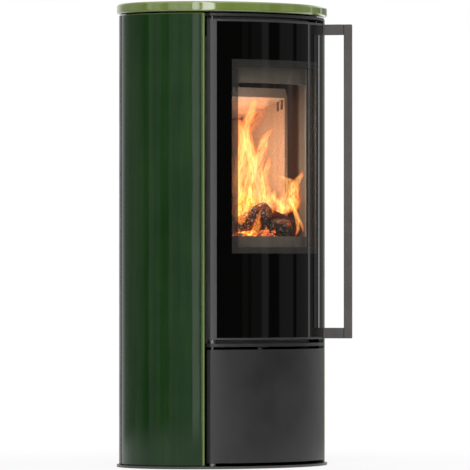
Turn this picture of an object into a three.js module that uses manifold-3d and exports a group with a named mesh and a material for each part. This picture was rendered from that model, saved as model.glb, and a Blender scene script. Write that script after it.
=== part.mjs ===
// A tall log-burning stove, oval in plan and cut off flat at the back: glazed tiles on both sides and on top, a
// glass-fronted fire door over a lower cupboard door, and the firebox with its lining, grate and ash pan inside.
// Units are millimetres. +Z is up, -Y is the front, and the origin is the middle of the oval on the floor.
import * as THREE from "three";
import { mergeVertices } from "three/addons/utils/BufferGeometryUtils.js";
import Module from "manifold-3d";

const wasm = await Module();
wasm.setup();

// ---------- Driving dimensions ----------

const touch = 0.3; // gap left between pieces that rest on or against each other
const runningFit = 0.4; // radial gap round a hinge pin
const cutterReach = 60; // how far a long cutter reaches beyond what it cuts
const shortReach = 5; // how far a short cutter reaches beyond what it cuts

// The outer skin in plan: an ellipse, cut off flat at the back.
const oval = { halfWidth: 290, halfDepth: 220, cutOff: 35 };

const basePlate = { thickness: 6, overhang: 6 };
const lowerDoor = { gapBelow: 8, height: 279, sheet: 2, returnDepth: 28, railThickness: 3 };
const middlePlate = { gapBelow: 7, thickness: 8 };
const fireDoor = { gapBelow: 9, height: 789, lip: 5, thickness: 25, webThickness: 4, railHeight: 23 };
const topPlate = { gapBelow: 8, thickness: 7 };
const topPad = { height: 4, radius: 12, fromSide: 140, fromFront: 115 };
const topTile = { thickness: 25, overhang: 6, edgeRadius: 6 };

// Side tiles: angles run round the oval from the front.
const tile = { thickness: 20, frontAngle: 46.8, rearAngle: 115, edgeRadius: 4, cornerRadius: 7 };
const tileBracket = { height: 40, belowTop: 81, rootWidth: 40, tabWidth: 20, sheet: 2 };

// Both doors: the gap to the tile, the bevel of their edges, and the steel strip beside the glass.
const doorEdge = { gap: 4, bevel: 9, strip: 16 };
const glass = { thickness: 4, setBack: 0.5, bed: 0.5 };
const windowOpening = { fromTile: 55, aboveBottom: 207, belowTop: 92 };
const innerPane = { thickness: 4, border: 20 };
const paneRetainer = { thickness: 3, width: 14, sideGap: 1 };
const seal = { width: 12, fromEdge: 16 };
const hinge = { pinRadius: 4, fromTile: 18, inset: 12, grip: 20, collarRadius: 9 };
const handle = { reach: 52.5, barDepth: 20.5, barWidth: 12, armWidth: 12, armHeight: 26.5, edgeRadius: 1.5 };
const latch = { fromTile: 10, rollerRadius: 5, rollerHeight: 20, axleRadius: 2, earThickness: 2, gapBehindRoller: 0.5 };
const striker = { thickness: 2.5, depth: 8.7, height: 30 };

// Inside the casing, depths are measured from the front of the oval unless they are named otherwise.
const sideFrame = { fromSide: 104, sheet: 3, fromFront: 102, fromBack: 35 };
const rearCasing = { sheet: 2, gapToTile: 2 };
const casingSlot = { width: 10, pitch: 30 };
const lowerCasingSlots = { count: 9, length: 60, fromBase: 54 };
const upperCasingSlots = { count: 7, length: 30, fromTop: 17 };
const cupboardBack = { behindFirebox: 2, sheet: 2 };

const frontFrame = { inset: 38, thickness: 5, sideBorder: 26, sillAboveHearth: 13, lintelAboveBaffle: 30 };
const ashMouth = { sideClearance: 7, height: 73 };
const firebox = { wall: 4, sideGap: 5.7, fromBack: 71, floorThickness: 5, roofBelowTop: 54, roofThickness: 5 };
const ashShelf = { gapBelow: 27, thickness: 2 };
const ashSpace = { height: 183 };
const flue = { radius: 72, wall: 3, flangeRadius: 88, flangeThickness: 3, belowRoof: 77, casingClearance: 3 };

const lining = { sideThickness: 10.5, rearThickness: 26, fromFront: 164.5 };
const baffle = { thickness: 25, belowRoof: 138, slope: 17 };
const liningNotch = { width: 9, gap: 5, fromFront: 5, depth: 25 };
const grate = { width: 138, depth: 94, thickness: 12, fromFront: 214, slots: 9, slotWidth: 6, rim: 12 };
const hearth = { thickness: 34.7 };
const ashPan = { width: 200, fromFront: 95, depth: 180, height: 60, wall: 1.5, lipWidth: 60, lipReach: 14 };

const airPort = { width: 24, depth: 30, pitch: 60, beforeRear: 29, count: 3 };
const airSlider = { thickness: 3, margin: 20, plateMargin: 8, tongueWidth: 24, fromFront: 72, travel: 30 };
const airKnob = { radius: 9, height: 20, fromEnd: 9 };
const airGuide = { wall: 3, lap: 5, legThickness: 3, notchClearance: 2 };
const magnetCatch = { width: 30, depth: 15, height: 16, fromSide: 155, behindRail: 4 };
const levellingScrew = { radius: 5, length: 34, headRadius: 8, headHeight: 5, fromSide: 62, y: 60 };

// How many straight pieces make up each curve.
const frontSteps = 24;
const casingSteps = 10;
const retainerSteps = 3;
const holeSides = 48;
const rollerSides = 20;
const pinSides = 16;
const sideSteps = 16;
const wholeOvalSteps = 54;

// ---------- Levels that follow from the sizes above ----------

const baseTop = basePlate.thickness;
const lowerDoorBottom = baseTop + lowerDoor.gapBelow;
const lowerDoorTop = lowerDoorBottom + lowerDoor.height;
const middleBottom = lowerDoorTop + middlePlate.gapBelow;
const middleTop = middleBottom + middlePlate.thickness;
const fireDoorBottom = middleTop + fireDoor.gapBelow;
const fireDoorTop = fireDoorBottom + fireDoor.height;
const topPlateBottom = fireDoorTop + topPlate.gapBelow;
const topPlateTop = topPlateBottom + topPlate.thickness;
const topTileBottom = topPlateTop + topPad.height;
const topTileTop = topTileBottom + topTile.thickness;
const ashShelfZ = middleTop + ashShelf.gapBelow;
const fireboxFloorZ = ashShelfZ + ashShelf.thickness + ashSpace.height;
const hearthBottom = fireboxFloorZ + firebox.floorThickness + touch;
const hearthTop = hearthBottom + hearth.thickness;
const fireboxRoofZ = topPlateBottom - firebox.roofBelowTop;
const baffleFrontZ = fireboxRoofZ - baffle.belowRoof;
const flueZ = fireboxRoofZ - flue.belowRoof;

// ---------- Places in plan that follow from the sizes above ----------

const ovalFront = -oval.halfDepth;
const ovalBack = oval.halfDepth - oval.cutOff;
const fireboxRear = ovalBack - firebox.fromBack;
const sideFrameX = oval.halfWidth - sideFrame.fromSide;
const wallOuterX = sideFrameX - firebox.sideGap;
const wallInnerX = wallOuterX - firebox.wall;
const liningOuterX = wallInnerX - touch;
const liningInnerX = liningOuterX - lining.sideThickness;
const liningFront = ovalFront + lining.fromFront;
const liningRear = fireboxRear - touch;
const rearLiningFront = liningRear - lining.rearThickness;
const grateY = ovalFront + grate.fromFront;
const airPortY = fireboxRear - airPort.beforeRear;

// ---------- Materials ----------

const finish = (color, roughness, metalness) => new THREE.MeshStandardMaterial({ color, roughness, metalness });
const darkGlaze = finish(0x2c4a2c, 0.15, 0);
const oliveGlaze = finish(0x7a8c46, 0.15, 0);
const anthracite = finish(0x3a3a3b, 0.5, 0.4);
const blackGlass = finish(0x0a0a0b, 0.06, 0);
const clearGlass = finish(0x9aa0a0, 0.05, 0);
const bareSteel = finish(0x8b8b88, 0.35, 1);
const castIron = finish(0x26262a, 0.7, 0.5);
const vermiculite = finish(0xc2ad93, 0.95, 0);
const sealRope = finish(0x2b2a28, 1, 0);
const pinSteel = finish(0x9c9c9a, 0.3, 1);

// ---------- Solids: joining and cutting ----------

// A closed geometry as a solid that can be joined and cut.
function solid(geometry) {
  const bare = geometry.clone();
  bare.deleteAttribute("normal");
  bare.deleteAttribute("uv");
  const merged = mergeVertices(bare, 1e-4);
  return new wasm.Manifold(
    new wasm.Mesh({
      numProp: 3,
      vertProperties: merged.attributes.position.array,
      triVerts: new Uint32Array(merged.index.array),
    }),
  );
}

// The geometry of a solid, ready for a mesh.
function geometryOf(made) {
  const { vertProperties, triVerts } = made.getMesh();
  const geometry = new THREE.BufferGeometry();
  geometry.setAttribute("position", new THREE.BufferAttribute(vertProperties, 3));
  geometry.setIndex(new THREE.BufferAttribute(triVerts, 1));
  geometry.computeVertexNormals();
  return geometry;
}

function join(...geometries) {
  return geometries.map(solid).reduce((whole, piece) => whole.add(piece));
}

// One solid less each of the cutters, which are geometries.
function cut(from, cutters) {
  return cutters.reduce((rest, cutter) => rest.subtract(solid(cutter)), from);
}

const stove = new THREE.Group();

function addMesh(name, geometry, material, parent = stove) {
  const mesh = new THREE.Mesh(geometry, material);
  mesh.name = name;
  parent.add(mesh);
  return mesh;
}

function addSolid(name, made, material, parent = stove) {
  return addMesh(name, geometryOf(made), material, parent);
}

// ---------- Geometry helpers ----------

function block([x0, x1], [y0, y1], [z0, z1]) {
  const box = new THREE.BoxGeometry(x1 - x0, y1 - y0, z1 - z0);
  return box.translate((x0 + x1) / 2, (y0 + y1) / 2, (z0 + z1) / 2);
}

function rod(x, y, [z0, z1], radius, sides = 20) {
  const cylinder = new THREE.CylinderGeometry(radius, radius, z1 - z0, sides).rotateX(Math.PI / 2);
  return cylinder.translate(x, y, (z0 + z1) / 2);
}

// An outline in plan, raised from z0 to z1.
function prism(points, [z0, z1]) {
  const options = { depth: z1 - z0, bevelEnabled: false };
  return new THREE.ExtrudeGeometry(new THREE.Shape(points), options).translate(0, 0, z0);
}

// The same with its upper and lower edges rounded.
function softPrism(points, [z0, z1], radius, bevelSegments = 3) {
  const options = {
    depth: z1 - z0 - 2 * radius,
    bevelThickness: radius,
    bevelSize: radius,
    bevelOffset: -radius,
    bevelSegments,
  };
  return new THREE.ExtrudeGeometry(new THREE.Shape(points), options).translate(0, 0, z0 + radius);
}

// A ring-shaped profile of (radius, height) corners, turned about the vertical.
function turned(corners, sides = 20) {
  const profile = [...corners, corners[0]].map(([radius, height]) => new THREE.Vector2(radius, height));
  return new THREE.LatheGeometry(profile, sides);
}

// A point of the oval: the angle runs round from the front, the inset goes inwards from the skin.
function skinPoint(angle, inset = 0) {
  const x = (oval.halfWidth - inset) * Math.sin(angle);
  const y = -(oval.halfDepth - inset) * Math.cos(angle);
  return new THREE.Vector2(x, y);
}

function skinArc(inset, from, to, steps) {
  const at = (step) => skinPoint(from + ((to - from) * step) / steps, inset);
  return Array.from({ length: steps + 1 }, (_, step) => at(step));
}

// Millimetres of skin per radian at an angle of the oval.
function skinPerRadian(angle) {
  return Math.hypot(oval.halfWidth * Math.cos(angle), oval.halfDepth * Math.sin(angle));
}

// The angle at which an oval with this inset reaches a flat back at y.
function backAngle(inset, y) {
  return Math.acos(-y / (oval.halfDepth - inset));
}

// The outward direction of the skin, as a turn about the vertical from straight ahead.
function facing(angle) {
  return Math.atan2(Math.sin(angle) / oval.halfWidth, Math.cos(angle) / oval.halfDepth);
}

// The front is measured from the seams: a run is the distance along the skin from the front edge of a tile.
const seam = THREE.MathUtils.degToRad(tile.frontAngle);
const runAngle = (run) => seam - run / skinPerRadian(seam);
const frontPoint = (side, run, inset) => skinPoint(side * runAngle(run), inset);

// The bevelled outline of both doors and both front plates, from the left rear corner to the right rear corner.
// A shrink moves it inwards all round, which gives the inner face of a bent sheet.
function frontOutline(rearInset, shrink = 0) {
  const side = doorEdge.gap + shrink;
  const bevel = doorEdge.bevel + shrink * Math.tan(Math.PI / 8);
  const frontRun = doorEdge.gap + bevel;
  const end = (which) => [frontPoint(which, side, rearInset), frontPoint(which, side, bevel)];
  const arc = skinArc(shrink, -runAngle(frontRun), runAngle(frontRun), frontSteps);
  return [...end(-1), ...arc, ...end(1).reverse()];
}

// A curved wall that follows the oval between two insets and two angles.
function curvedWall([outer, inner], [from, to], levels, steps = frontSteps) {
  return prism([...skinArc(outer, from, to, steps), ...skinArc(inner, to, from, steps)], levels);
}

// A curved wall across the front, ending a given run from both seams.
function frontWall(insets, run, levels) {
  return curvedWall(insets, [-runAngle(run), runAngle(run)], levels);
}

// A sheet bent along a path in plan.
function bentSheet(path, thickness, levels) {
  const beside = (sign) =>
    path.map((point, i) => {
      const before = point.clone().sub(path[Math.max(i - 1, 0)]).normalize();
      const after = path[Math.min(i + 1, path.length - 1)].clone().sub(point).normalize();
      const along = before.add(after).normalize();
      const leg = i === 0 ? path[1].clone().sub(point) : point.clone().sub(path[i - 1]);
      const stretch = 1 / Math.abs(along.dot(leg.normalize()));
      const across = new THREE.Vector2(-along.y, along.x).multiplyScalar((sign * thickness * stretch) / 2);
      return point.clone().add(across);
    });
  return prism([...beside(1), ...beside(-1).reverse()], levels);
}

// A group that stands on the skin at a run from the right seam, with its -Y axis pointing straight out.
function groupOnRightSkin(run, inset) {
  const group = new THREE.Group();
  const place = frontPoint(1, run, inset);
  group.position.set(place.x, place.y, 0);
  group.rotation.z = facing(runAngle(run));
  stove.add(group);
  return group;
}

const hingePlace = frontPoint(-1, hinge.fromTile, hinge.inset);
const pinHole = (levels) => rod(hingePlace.x, hingePlace.y, levels, hinge.pinRadius + runningFit);

// ---------- Base, plates and casing ----------

// The oval with its flat back, moved out or in by an inset.
function ovalPlate(inset, back, steps = wholeOvalSteps) {
  const rear = backAngle(inset, back);
  return skinArc(inset, -rear, rear, steps);
}

const screwPlaces = [-1, 1].flatMap((sideways) =>
  [-1, 1].map((lengthways) => [sideways * (oval.halfWidth - levellingScrew.fromSide), lengthways * levellingScrew.y]),
);

function addBase() {
  const plate = solid(prism(ovalPlate(-basePlate.overhang, ovalBack), [0, baseTop]));
  const past = [-1, baseTop + 1];
  const holes = screwPlaces.map(([x, y]) => rod(x, y, past, levellingScrew.radius + touch));
  addSolid("base_plate", cut(plate, [...holes, pinHole(past)]), anthracite);

  const { radius, length, headRadius, headHeight } = levellingScrew;
  const profile = [[0, 0], [radius, 0], [radius, length - headHeight], [headRadius, length - headHeight]];
  const head = [[headRadius, length], [0, length]];
  screwPlaces.forEach(([x, y], i) => {
    const screw = turned([...profile, ...head], pinSides).rotateX(Math.PI / 2).translate(x, y, 0);
    addMesh("levelling_screw_" + (i + 1), screw, pinSteel);
  });
}

const topPlateInset = tile.thickness + 2; // clear of the backs of the tiles
const deckHalfWidth = sideFrameX - touch;
const cupboardBackY = fireboxRear + cupboardBack.behindFirebox;
const deckRear = cupboardBackY + cupboardBack.sheet;
const sideFrameFront = ovalFront + sideFrame.fromFront;

function airPorts(levels) {
  return Array.from({ length: airPort.count }, (_, i) => {
    const x = (i - (airPort.count - 1) / 2) * airPort.pitch;
    const halfWidth = airPort.width / 2;
    const halfDepth = airPort.depth / 2;
    return block([x - halfWidth, x + halfWidth], [airPortY - halfDepth, airPortY + halfDepth], levels);
  });
}

function addPlates() {
  // The middle plate shows as a thin rim between the doors and carries the firebox behind them.
  const behindRim = (side) => [
    new THREE.Vector2(side * deckHalfWidth, deckRear),
    new THREE.Vector2(side * deckHalfWidth, sideFrameFront),
  ];
  const deck = [...behindRim(-1), ...frontOutline(frontFrame.inset), ...behindRim(1).reverse()];
  const levels = [middleBottom - 1, middleTop + 1];
  const middle = solid(prism(deck, [middleBottom, middleTop]));
  addSolid("middle_plate", cut(middle, [pinHole(levels), ...airPorts(levels)]), anthracite);

  // The top plate shows at the front and lies behind the tiles at the sides.
  const rear = backAngle(topPlateInset, ovalBack - rearCasing.sheet - touch);
  const sideArc = skinArc(topPlateInset, -rear, -runAngle(doorEdge.gap), sideSteps);
  const mirrored = sideArc.map((point) => new THREE.Vector2(-point.x, point.y)).reverse();
  const outline = [...sideArc, ...frontOutline(topPlateInset).slice(1, -1), ...mirrored];
  const top = solid(prism(outline, [topPlateBottom, topPlateTop]));
  addSolid("top_plate", cut(top, [pinHole([topPlateBottom - 1, topPlateTop + 1])]), anthracite);
}

function addSideFrames() {
  for (const [name, side] of [["left_side_frame", -1], ["right_side_frame", 1]]) {
    const x = [side * sideFrameX, side * (sideFrameX + sideFrame.sheet)].sort((a, b) => a - b);
    const y = [sideFrameFront, ovalBack - sideFrame.fromBack];
    const sheet = block(x, y, [baseTop + touch, topPlateBottom - touch]);
    addMesh(name, sheet, anthracite);
  }
  const back = block(
    [-deckHalfWidth, deckHalfWidth],
    [cupboardBackY, deckRear],
    [baseTop + touch, middleBottom - touch],
  );
  addMesh("cupboard_back", back, anthracite);
}

// A row of upright slots through the flat back of the casing, between two levels.
function casingSlots(count, levels) {
  const through = [ovalBack - shortReach, ovalBack + shortReach];
  return Array.from({ length: count }, (_, i) => {
    const x = (i - (count - 1) / 2) * casingSlot.pitch;
    return block([x - casingSlot.width / 2, x + casingSlot.width / 2], through, levels);
  });
}

// One bent sheet from the rear edge of one tile round the flat back to the other, with an edge turned in at
// each end to the side frame, slots for the warm air and the hole for the flue.
function addRearCasing() {
  const middle = rearCasing.sheet / 2;
  const rearEdge = THREE.MathUtils.degToRad(tile.rearAngle);
  const start = rearEdge + rearCasing.gapToTile / skinPerRadian(rearEdge);
  const arc = skinArc(middle, start, backAngle(middle, ovalBack - middle), casingSteps);
  const turnedIn = new THREE.Vector2(sideFrameX + sideFrame.sheet + touch, arc[0].y);
  const right = [turnedIn, ...arc];
  const left = right.map((point) => new THREE.Vector2(-point.x, point.y)).reverse();
  const sheet = solid(bentSheet([...right, ...left], rearCasing.sheet, [baseTop + touch, topPlateTop]));

  const lowerStart = baseTop + lowerCasingSlots.fromBase;
  const upperEnd = topPlateTop - upperCasingSlots.fromTop;
  const slots = [
    ...casingSlots(lowerCasingSlots.count, [lowerStart, lowerStart + lowerCasingSlots.length]),
    ...casingSlots(upperCasingSlots.count, [upperEnd - upperCasingSlots.length, upperEnd]),
  ];
  const flueHole = new THREE.CylinderGeometry(1, 1, cutterReach, holeSides);
  const holeRadius = flue.radius + flue.wall + flue.casingClearance;
  flueHole.scale(holeRadius, 1, holeRadius).translate(0, ovalBack, flueZ);
  const topPlateRoom = prism(
    ovalPlate(topPlateInset - touch, ovalBack - rearCasing.sheet),
    [topPlateBottom - touch, topPlateTop + 1],
  );
  addSolid("rear_casing", cut(sheet, [...slots, flueHole, topPlateRoom]), anthracite);
}

// ---------- Tiles ----------

// The section of a side tile in plan, with all four upright edges rounded.
function tileOutline(from, to, thickness, radius) {
  // Round one end, from the outer face to the inner one: each step goes along the tile and into it.
  const roundEnd = (angle, inwards) => {
    const at = (along, inset) => skinPoint(angle + (inwards * along) / skinPerRadian(angle), inset);
    const turns = [0, 1, 2, 3].map((step) => (step / 3) * (Math.PI / 2));
    const outerEdge = turns.map((turn) => at(radius - radius * Math.sin(turn), radius - radius * Math.cos(turn)));
    const innerEdge = turns.map((turn) =>
      at(radius - radius * Math.cos(turn), thickness - radius + radius * Math.sin(turn)),
    );
    return [...outerEdge, ...innerEdge];
  };
  const first = from + radius / skinPerRadian(from);
  const last = to - radius / skinPerRadian(to);
  const outerFace = skinArc(0, first, last, sideSteps).slice(1, -1);
  const innerFace = skinArc(thickness, last, first, sideSteps).slice(1, -1);
  return [...outerFace, ...roundEnd(to, -1), ...innerFace, ...roundEnd(from, 1).reverse()];
}

function addTiles() {
  const right = tileOutline(seam, THREE.MathUtils.degToRad(tile.rearAngle), tile.thickness, tile.cornerRadius);
  const left = right.map((point) => new THREE.Vector2(-point.x, point.y)).reverse();
  const levels = [baseTop + touch, topPlateTop];
  addMesh("right_tile", softPrism(right, levels, tile.edgeRadius), darkGlaze);
  addMesh("left_tile", softPrism(left, levels, tile.edgeRadius), darkGlaze);

  const top = ovalPlate(-topTile.overhang, ovalBack);
  addMesh("top_tile", softPrism(top, [topTileBottom, topTileTop], topTile.edgeRadius), oliveGlaze);

  const padLevels = [topPlateTop + touch, topTileBottom - touch];
  let padNumber = 1;
  const padX = oval.halfWidth - topPad.fromSide;
  const padY = oval.halfDepth - topPad.fromFront;
  for (const x of [-padX, padX]) {
    for (const y of [-padY, padY]) {
      addMesh("top_tile_pad_" + padNumber, rod(x, y, padLevels, topPad.radius, pinSides), sealRope);
      padNumber += 1;
    }
  }
}

// A bent bracket from each side frame to the back of the tile.
function addTileBrackets() {
  const { height, belowTop, rootWidth, tabWidth, sheet } = tileBracket;
  const frameX = sideFrameX + sideFrame.sheet + touch;
  const tabShare = tabWidth / 2 / (oval.halfDepth - tile.thickness);
  const tileX = (oval.halfWidth - tile.thickness) * Math.sqrt(1 - tabShare ** 2);
  const top = topPlateTop - belowTop;
  const levels = [top - height, top];
  for (const [name, side] of [["left_tile_bracket", -1], ["right_tile_bracket", 1]]) {
    const across = (x0, x1) => [side * x0, side * x1].sort((a, b) => a - b);
    const root = block(across(frameX, frameX + sheet), [-rootWidth / 2, rootWidth / 2], levels);
    const web = block(across(frameX, tileX - touch), [-sheet / 2, sheet / 2], levels);
    const tab = block(across(tileX - touch - sheet, tileX - touch), [-tabWidth / 2, tabWidth / 2], levels);
    addSolid(name, join(root, web, tab), bareSteel);
  }
}

// ---------- Firebox ----------

const frameBack = frontFrame.inset + frontFrame.thickness;

// A piece behind the front frame, cut to the curve of the frame's back.
function behindFrame(geometry) {
  const aheadInsets = [-cutterReach, frameBack + touch];
  const everythingAhead = curvedWall(aheadInsets, [-Math.PI / 2, Math.PI / 2], [0, topTileTop], holeSides);
  return cut(solid(geometry), [everythingAhead]);
}

function addFireboxShell() {
  const levels = [middleTop + touch, fireboxRoofZ + firebox.roofThickness];
  const inside = [-wallInnerX + touch, wallInnerX - touch];

  const left = block([-wallOuterX, -wallInnerX], [ovalFront, fireboxRear], levels);
  addSolid("firebox_left_wall", behindFrame(left), anthracite);
  const right = block([wallInnerX, wallOuterX], [ovalFront, fireboxRear], levels);
  addSolid("firebox_right_wall", behindFrame(right), anthracite);

  const flueCutter = new THREE.CylinderGeometry(flue.radius, flue.radius, cutterReach, holeSides);
  flueCutter.translate(0, fireboxRear, flueZ);
  const rearY = [fireboxRear + touch, fireboxRear + touch + firebox.wall];
  const rear = block([-wallOuterX, wallOuterX], rearY, levels);
  addSolid("firebox_rear_wall", cut(solid(rear), [flueCutter]), anthracite);

  const depth = [ovalFront, fireboxRear];
  const floorLevels = [fireboxFloorZ, fireboxFloorZ + firebox.floorThickness];
  const ashHole = block(
    [grate.rim - grate.width / 2, grate.width / 2 - grate.rim],
    [grateY + grate.rim - grate.depth / 2, grateY - grate.rim + grate.depth / 2],
    [fireboxFloorZ - 1, fireboxFloorZ + firebox.floorThickness + 1],
  );
  addSolid("firebox_floor", cut(behindFrame(block(inside, depth, floorLevels)), [ashHole]), anthracite);
  const roofLevels = [fireboxRoofZ, fireboxRoofZ + firebox.roofThickness];
  addSolid("firebox_roof", behindFrame(block(inside, depth, roofLevels)), anthracite);

  const shelfLevels = [ashShelfZ, ashShelfZ + ashShelf.thickness];
  const shelfPorts = airPorts([ashShelfZ - 1, ashShelfZ + ashShelf.thickness + 1]);
  addSolid("ash_shelf", cut(behindFrame(block(inside, depth, shelfLevels)), shelfPorts), anthracite);
}

function addFrontFrame() {
  const wall = frontWall([frontFrame.inset, frameBack], doorEdge.gap, [middleTop + touch, topPlateBottom - touch]);
  const through = [ovalFront, 0];
  const fireMouth = block(
    [frontFrame.sideBorder - liningOuterX, liningOuterX - frontFrame.sideBorder],
    through,
    [hearthTop + frontFrame.sillAboveHearth, baffleFrontZ + frontFrame.lintelAboveBaffle],
  );
  const sill = ashShelfZ + ashShelf.thickness;
  const mouthHalfWidth = ashPan.width / 2 + ashMouth.sideClearance;
  const ashOpening = block([-mouthHalfWidth, mouthHalfWidth], through, [sill, sill + ashMouth.height]);
  addSolid("firebox_front_frame", cut(solid(wall), [fireMouth, ashOpening]), anthracite);
}

function addFlueSpigot(reach) {
  const { radius, wall, flangeRadius, flangeThickness } = flue;
  const start = fireboxRear + firebox.wall + 2 * touch;
  const length = reach - start;
  const flange = [[radius, 0], [flangeRadius, 0], [flangeRadius, flangeThickness]];
  const tube = [[radius + wall, flangeThickness], [radius + wall, length], [radius, length]];
  addMesh("flue_spigot", turned([...flange, ...tube], 40).translate(0, start, flueZ), anthracite);
}

// ---------- Lining ----------

const baffleSlope = THREE.MathUtils.degToRad(baffle.slope);
const baffleUnderside = (y) => baffleFrontZ - (y - liningFront) * Math.tan(baffleSlope);

// Side slabs with a sloping top edge that carries the baffle, and two air notches in it near the front.
function addSideLinings() {
  const { width, gap, fromFront, depth } = liningNotch;
  const notchCorners = [1, 0].flatMap((order) => {
    const y0 = liningFront + fromFront + order * (width + gap);
    const y1 = y0 + width;
    const [z0, z1] = [baffleUnderside(y0), baffleUnderside(y1)];
    return [[y1, z1], [y1, z1 - depth], [y0, z0 - depth], [y0, z0]];
  });
  const corners = [
    [liningFront, hearthBottom],
    [liningRear, hearthBottom],
    [liningRear, baffleUnderside(liningRear)],
    ...notchCorners,
    [liningFront, baffleFrontZ],
  ];
  const slab = new THREE.Shape(corners.map(([y, z]) => new THREE.Vector2(y, z)));
  const upright = new THREE.Matrix4().makeBasis(
    new THREE.Vector3(0, 1, 0),
    new THREE.Vector3(0, 0, 1),
    new THREE.Vector3(1, 0, 0),
  );
  const slabs = { lining_left: -liningOuterX, lining_right: liningInnerX };
  for (const [name, x] of Object.entries(slabs)) {
    const geometry = new THREE.ExtrudeGeometry(slab, { depth: lining.sideThickness, bevelEnabled: false });
    addMesh(name, geometry.applyMatrix4(upright).translate(x, 0, 0), vermiculite);
  }
}

function addLining() {
  addSideLinings();
  const halfWidth = liningInnerX - touch;
  const rearLevels = [hearthBottom, baffleUnderside(fireboxRear) - touch];
  const rear = block([-halfWidth, halfWidth], [rearLiningFront, liningRear], rearLevels);
  addMesh("lining_rear", rear, vermiculite);

  // The baffle lies on the sloping top edges and falls towards the back.
  const depth = liningRear - liningFront;
  const length = (depth - baffle.thickness * Math.sin(baffleSlope)) / Math.cos(baffleSlope);
  const slab = block([-liningOuterX, liningOuterX], [0, length], [0, baffle.thickness]);
  const placed = addMesh("baffle", slab, vermiculite);
  placed.position.set(0, liningFront, baffleFrontZ + touch / Math.cos(baffleSlope));
  placed.rotation.x = -baffleSlope;

  // Four bricks round the grate make the hearth.
  const levels = [hearthBottom, hearthTop];
  const grateX = grate.width / 2 + touch;
  const grateFront = grateY - grate.depth / 2 - touch;
  const grateRear = grateY + grate.depth / 2 + touch;
  const behind = rearLiningFront - touch;
  const left = block([-halfWidth, -grateX], [ovalFront, behind], levels);
  addSolid("hearth_brick_left", behindFrame(left), vermiculite);
  const right = block([grateX, halfWidth], [ovalFront, behind], levels);
  addSolid("hearth_brick_right", behindFrame(right), vermiculite);
  const between = [-grateX + touch, grateX - touch];
  const front = block(between, [ovalFront, grateFront], levels);
  addSolid("hearth_brick_front", behindFrame(front), vermiculite);
  addMesh("hearth_brick_rear", block(between, [grateRear, behind], levels), vermiculite);
}

function addGrate() {
  const halfWidth = grate.width / 2 - touch;
  const halfDepth = grate.depth / 2 - touch;
  const levels = [hearthBottom, hearthBottom + grate.thickness];
  const plate = block([-halfWidth, halfWidth], [grateY - halfDepth, grateY + halfDepth], levels);
  const pitch = (grate.width - 2 * grate.rim) / grate.slots;
  const slots = Array.from({ length: grate.slots }, (_, i) => {
    const x = (i - (grate.slots - 1) / 2) * pitch;
    const y = [grateY - grate.depth / 2 + grate.rim, grateY + grate.depth / 2 - grate.rim];
    return block([x - grate.slotWidth / 2, x + grate.slotWidth / 2], y, [levels[0] - 1, levels[1] + 1]);
  });
  addSolid("grate", cut(solid(plate), slots), castIron);
}

function addAshPan() {
  const { width, fromFront, depth, height, wall, lipWidth, lipReach } = ashPan;
  const frontY = ovalFront + fromFront;
  const bottom = ashShelfZ + ashShelf.thickness + touch;
  const outside = block([-width / 2, width / 2], [frontY, frontY + depth], [bottom, bottom + height]);
  const hollow = block(
    [wall - width / 2, width / 2 - wall],
    [frontY + wall, frontY + depth - wall],
    [bottom + wall, bottom + height + 1],
  );
  const lipTop = bottom + height / 2;
  const lip = block([-lipWidth / 2, lipWidth / 2], [frontY - lipReach, frontY + wall / 2], [lipTop - 2 * wall, lipTop]);
  addSolid("ash_pan", solid(outside).subtract(solid(hollow)).add(solid(lip)), bareSteel);
}

// ---------- Air slider under the middle plate ----------

function addAirSlider() {
  const top = middleBottom - touch;
  const levels = [top - airSlider.thickness, top];
  const halfWidth = ((airPort.count - 1) * airPort.pitch + airPort.width) / 2 + airSlider.margin;
  const frontEdge = airPortY - airPort.depth / 2 - airSlider.plateMargin;
  const rearEdge = airPortY + airPort.depth / 2 + airSlider.plateMargin;
  const plate = block([-halfWidth, halfWidth], [frontEdge, rearEdge], levels);
  const halfTongue = airSlider.tongueWidth / 2;
  const tongueEnd = ovalFront + airSlider.fromFront;
  const tongue = block([-halfTongue, halfTongue], [tongueEnd, frontEdge + 1], levels);
  const knobY = tongueEnd + airKnob.fromEnd + airKnob.radius;
  const knob = rod(0, knobY, [levels[0] - airKnob.height, levels[0] + 1], airKnob.radius);
  const ports = airPorts([levels[0] - 1, levels[1] + 1]);
  addSolid("air_slider", cut(join(plate, tongue, knob), ports), bareSteel);

  // Two angles hang under the middle plate and carry the slider by its front and rear edges.
  const legLevels = [levels[0] - touch - airGuide.legThickness, levels[0] - touch];
  const span = [-halfWidth, halfWidth + airSlider.travel];
  const guide = (edge, outwards) => {
    const wallY = [edge + outwards * touch, edge + outwards * (touch + airGuide.wall)].sort((a, b) => a - b);
    const legY = [edge - outwards * airGuide.lap, edge + outwards * (touch + airGuide.wall)].sort((a, b) => a - b);
    return join(block(span, wallY, [legLevels[0], top]), block(span, legY, legLevels));
  };
  const { notchClearance } = airGuide;
  const notchX = [-halfTongue - notchClearance, halfTongue + airSlider.travel + notchClearance];
  const notch = block(notchX, [frontEdge - 2 * airGuide.wall, frontEdge + 1], [legLevels[1], top + 1]);
  addSolid("air_guide_front", cut(guide(frontEdge, -1), [notch]), bareSteel);
  addSolid("air_guide_rear", guide(rearEdge, 1), bareSteel);
}

// ---------- Hinge pins and catches ----------

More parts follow.
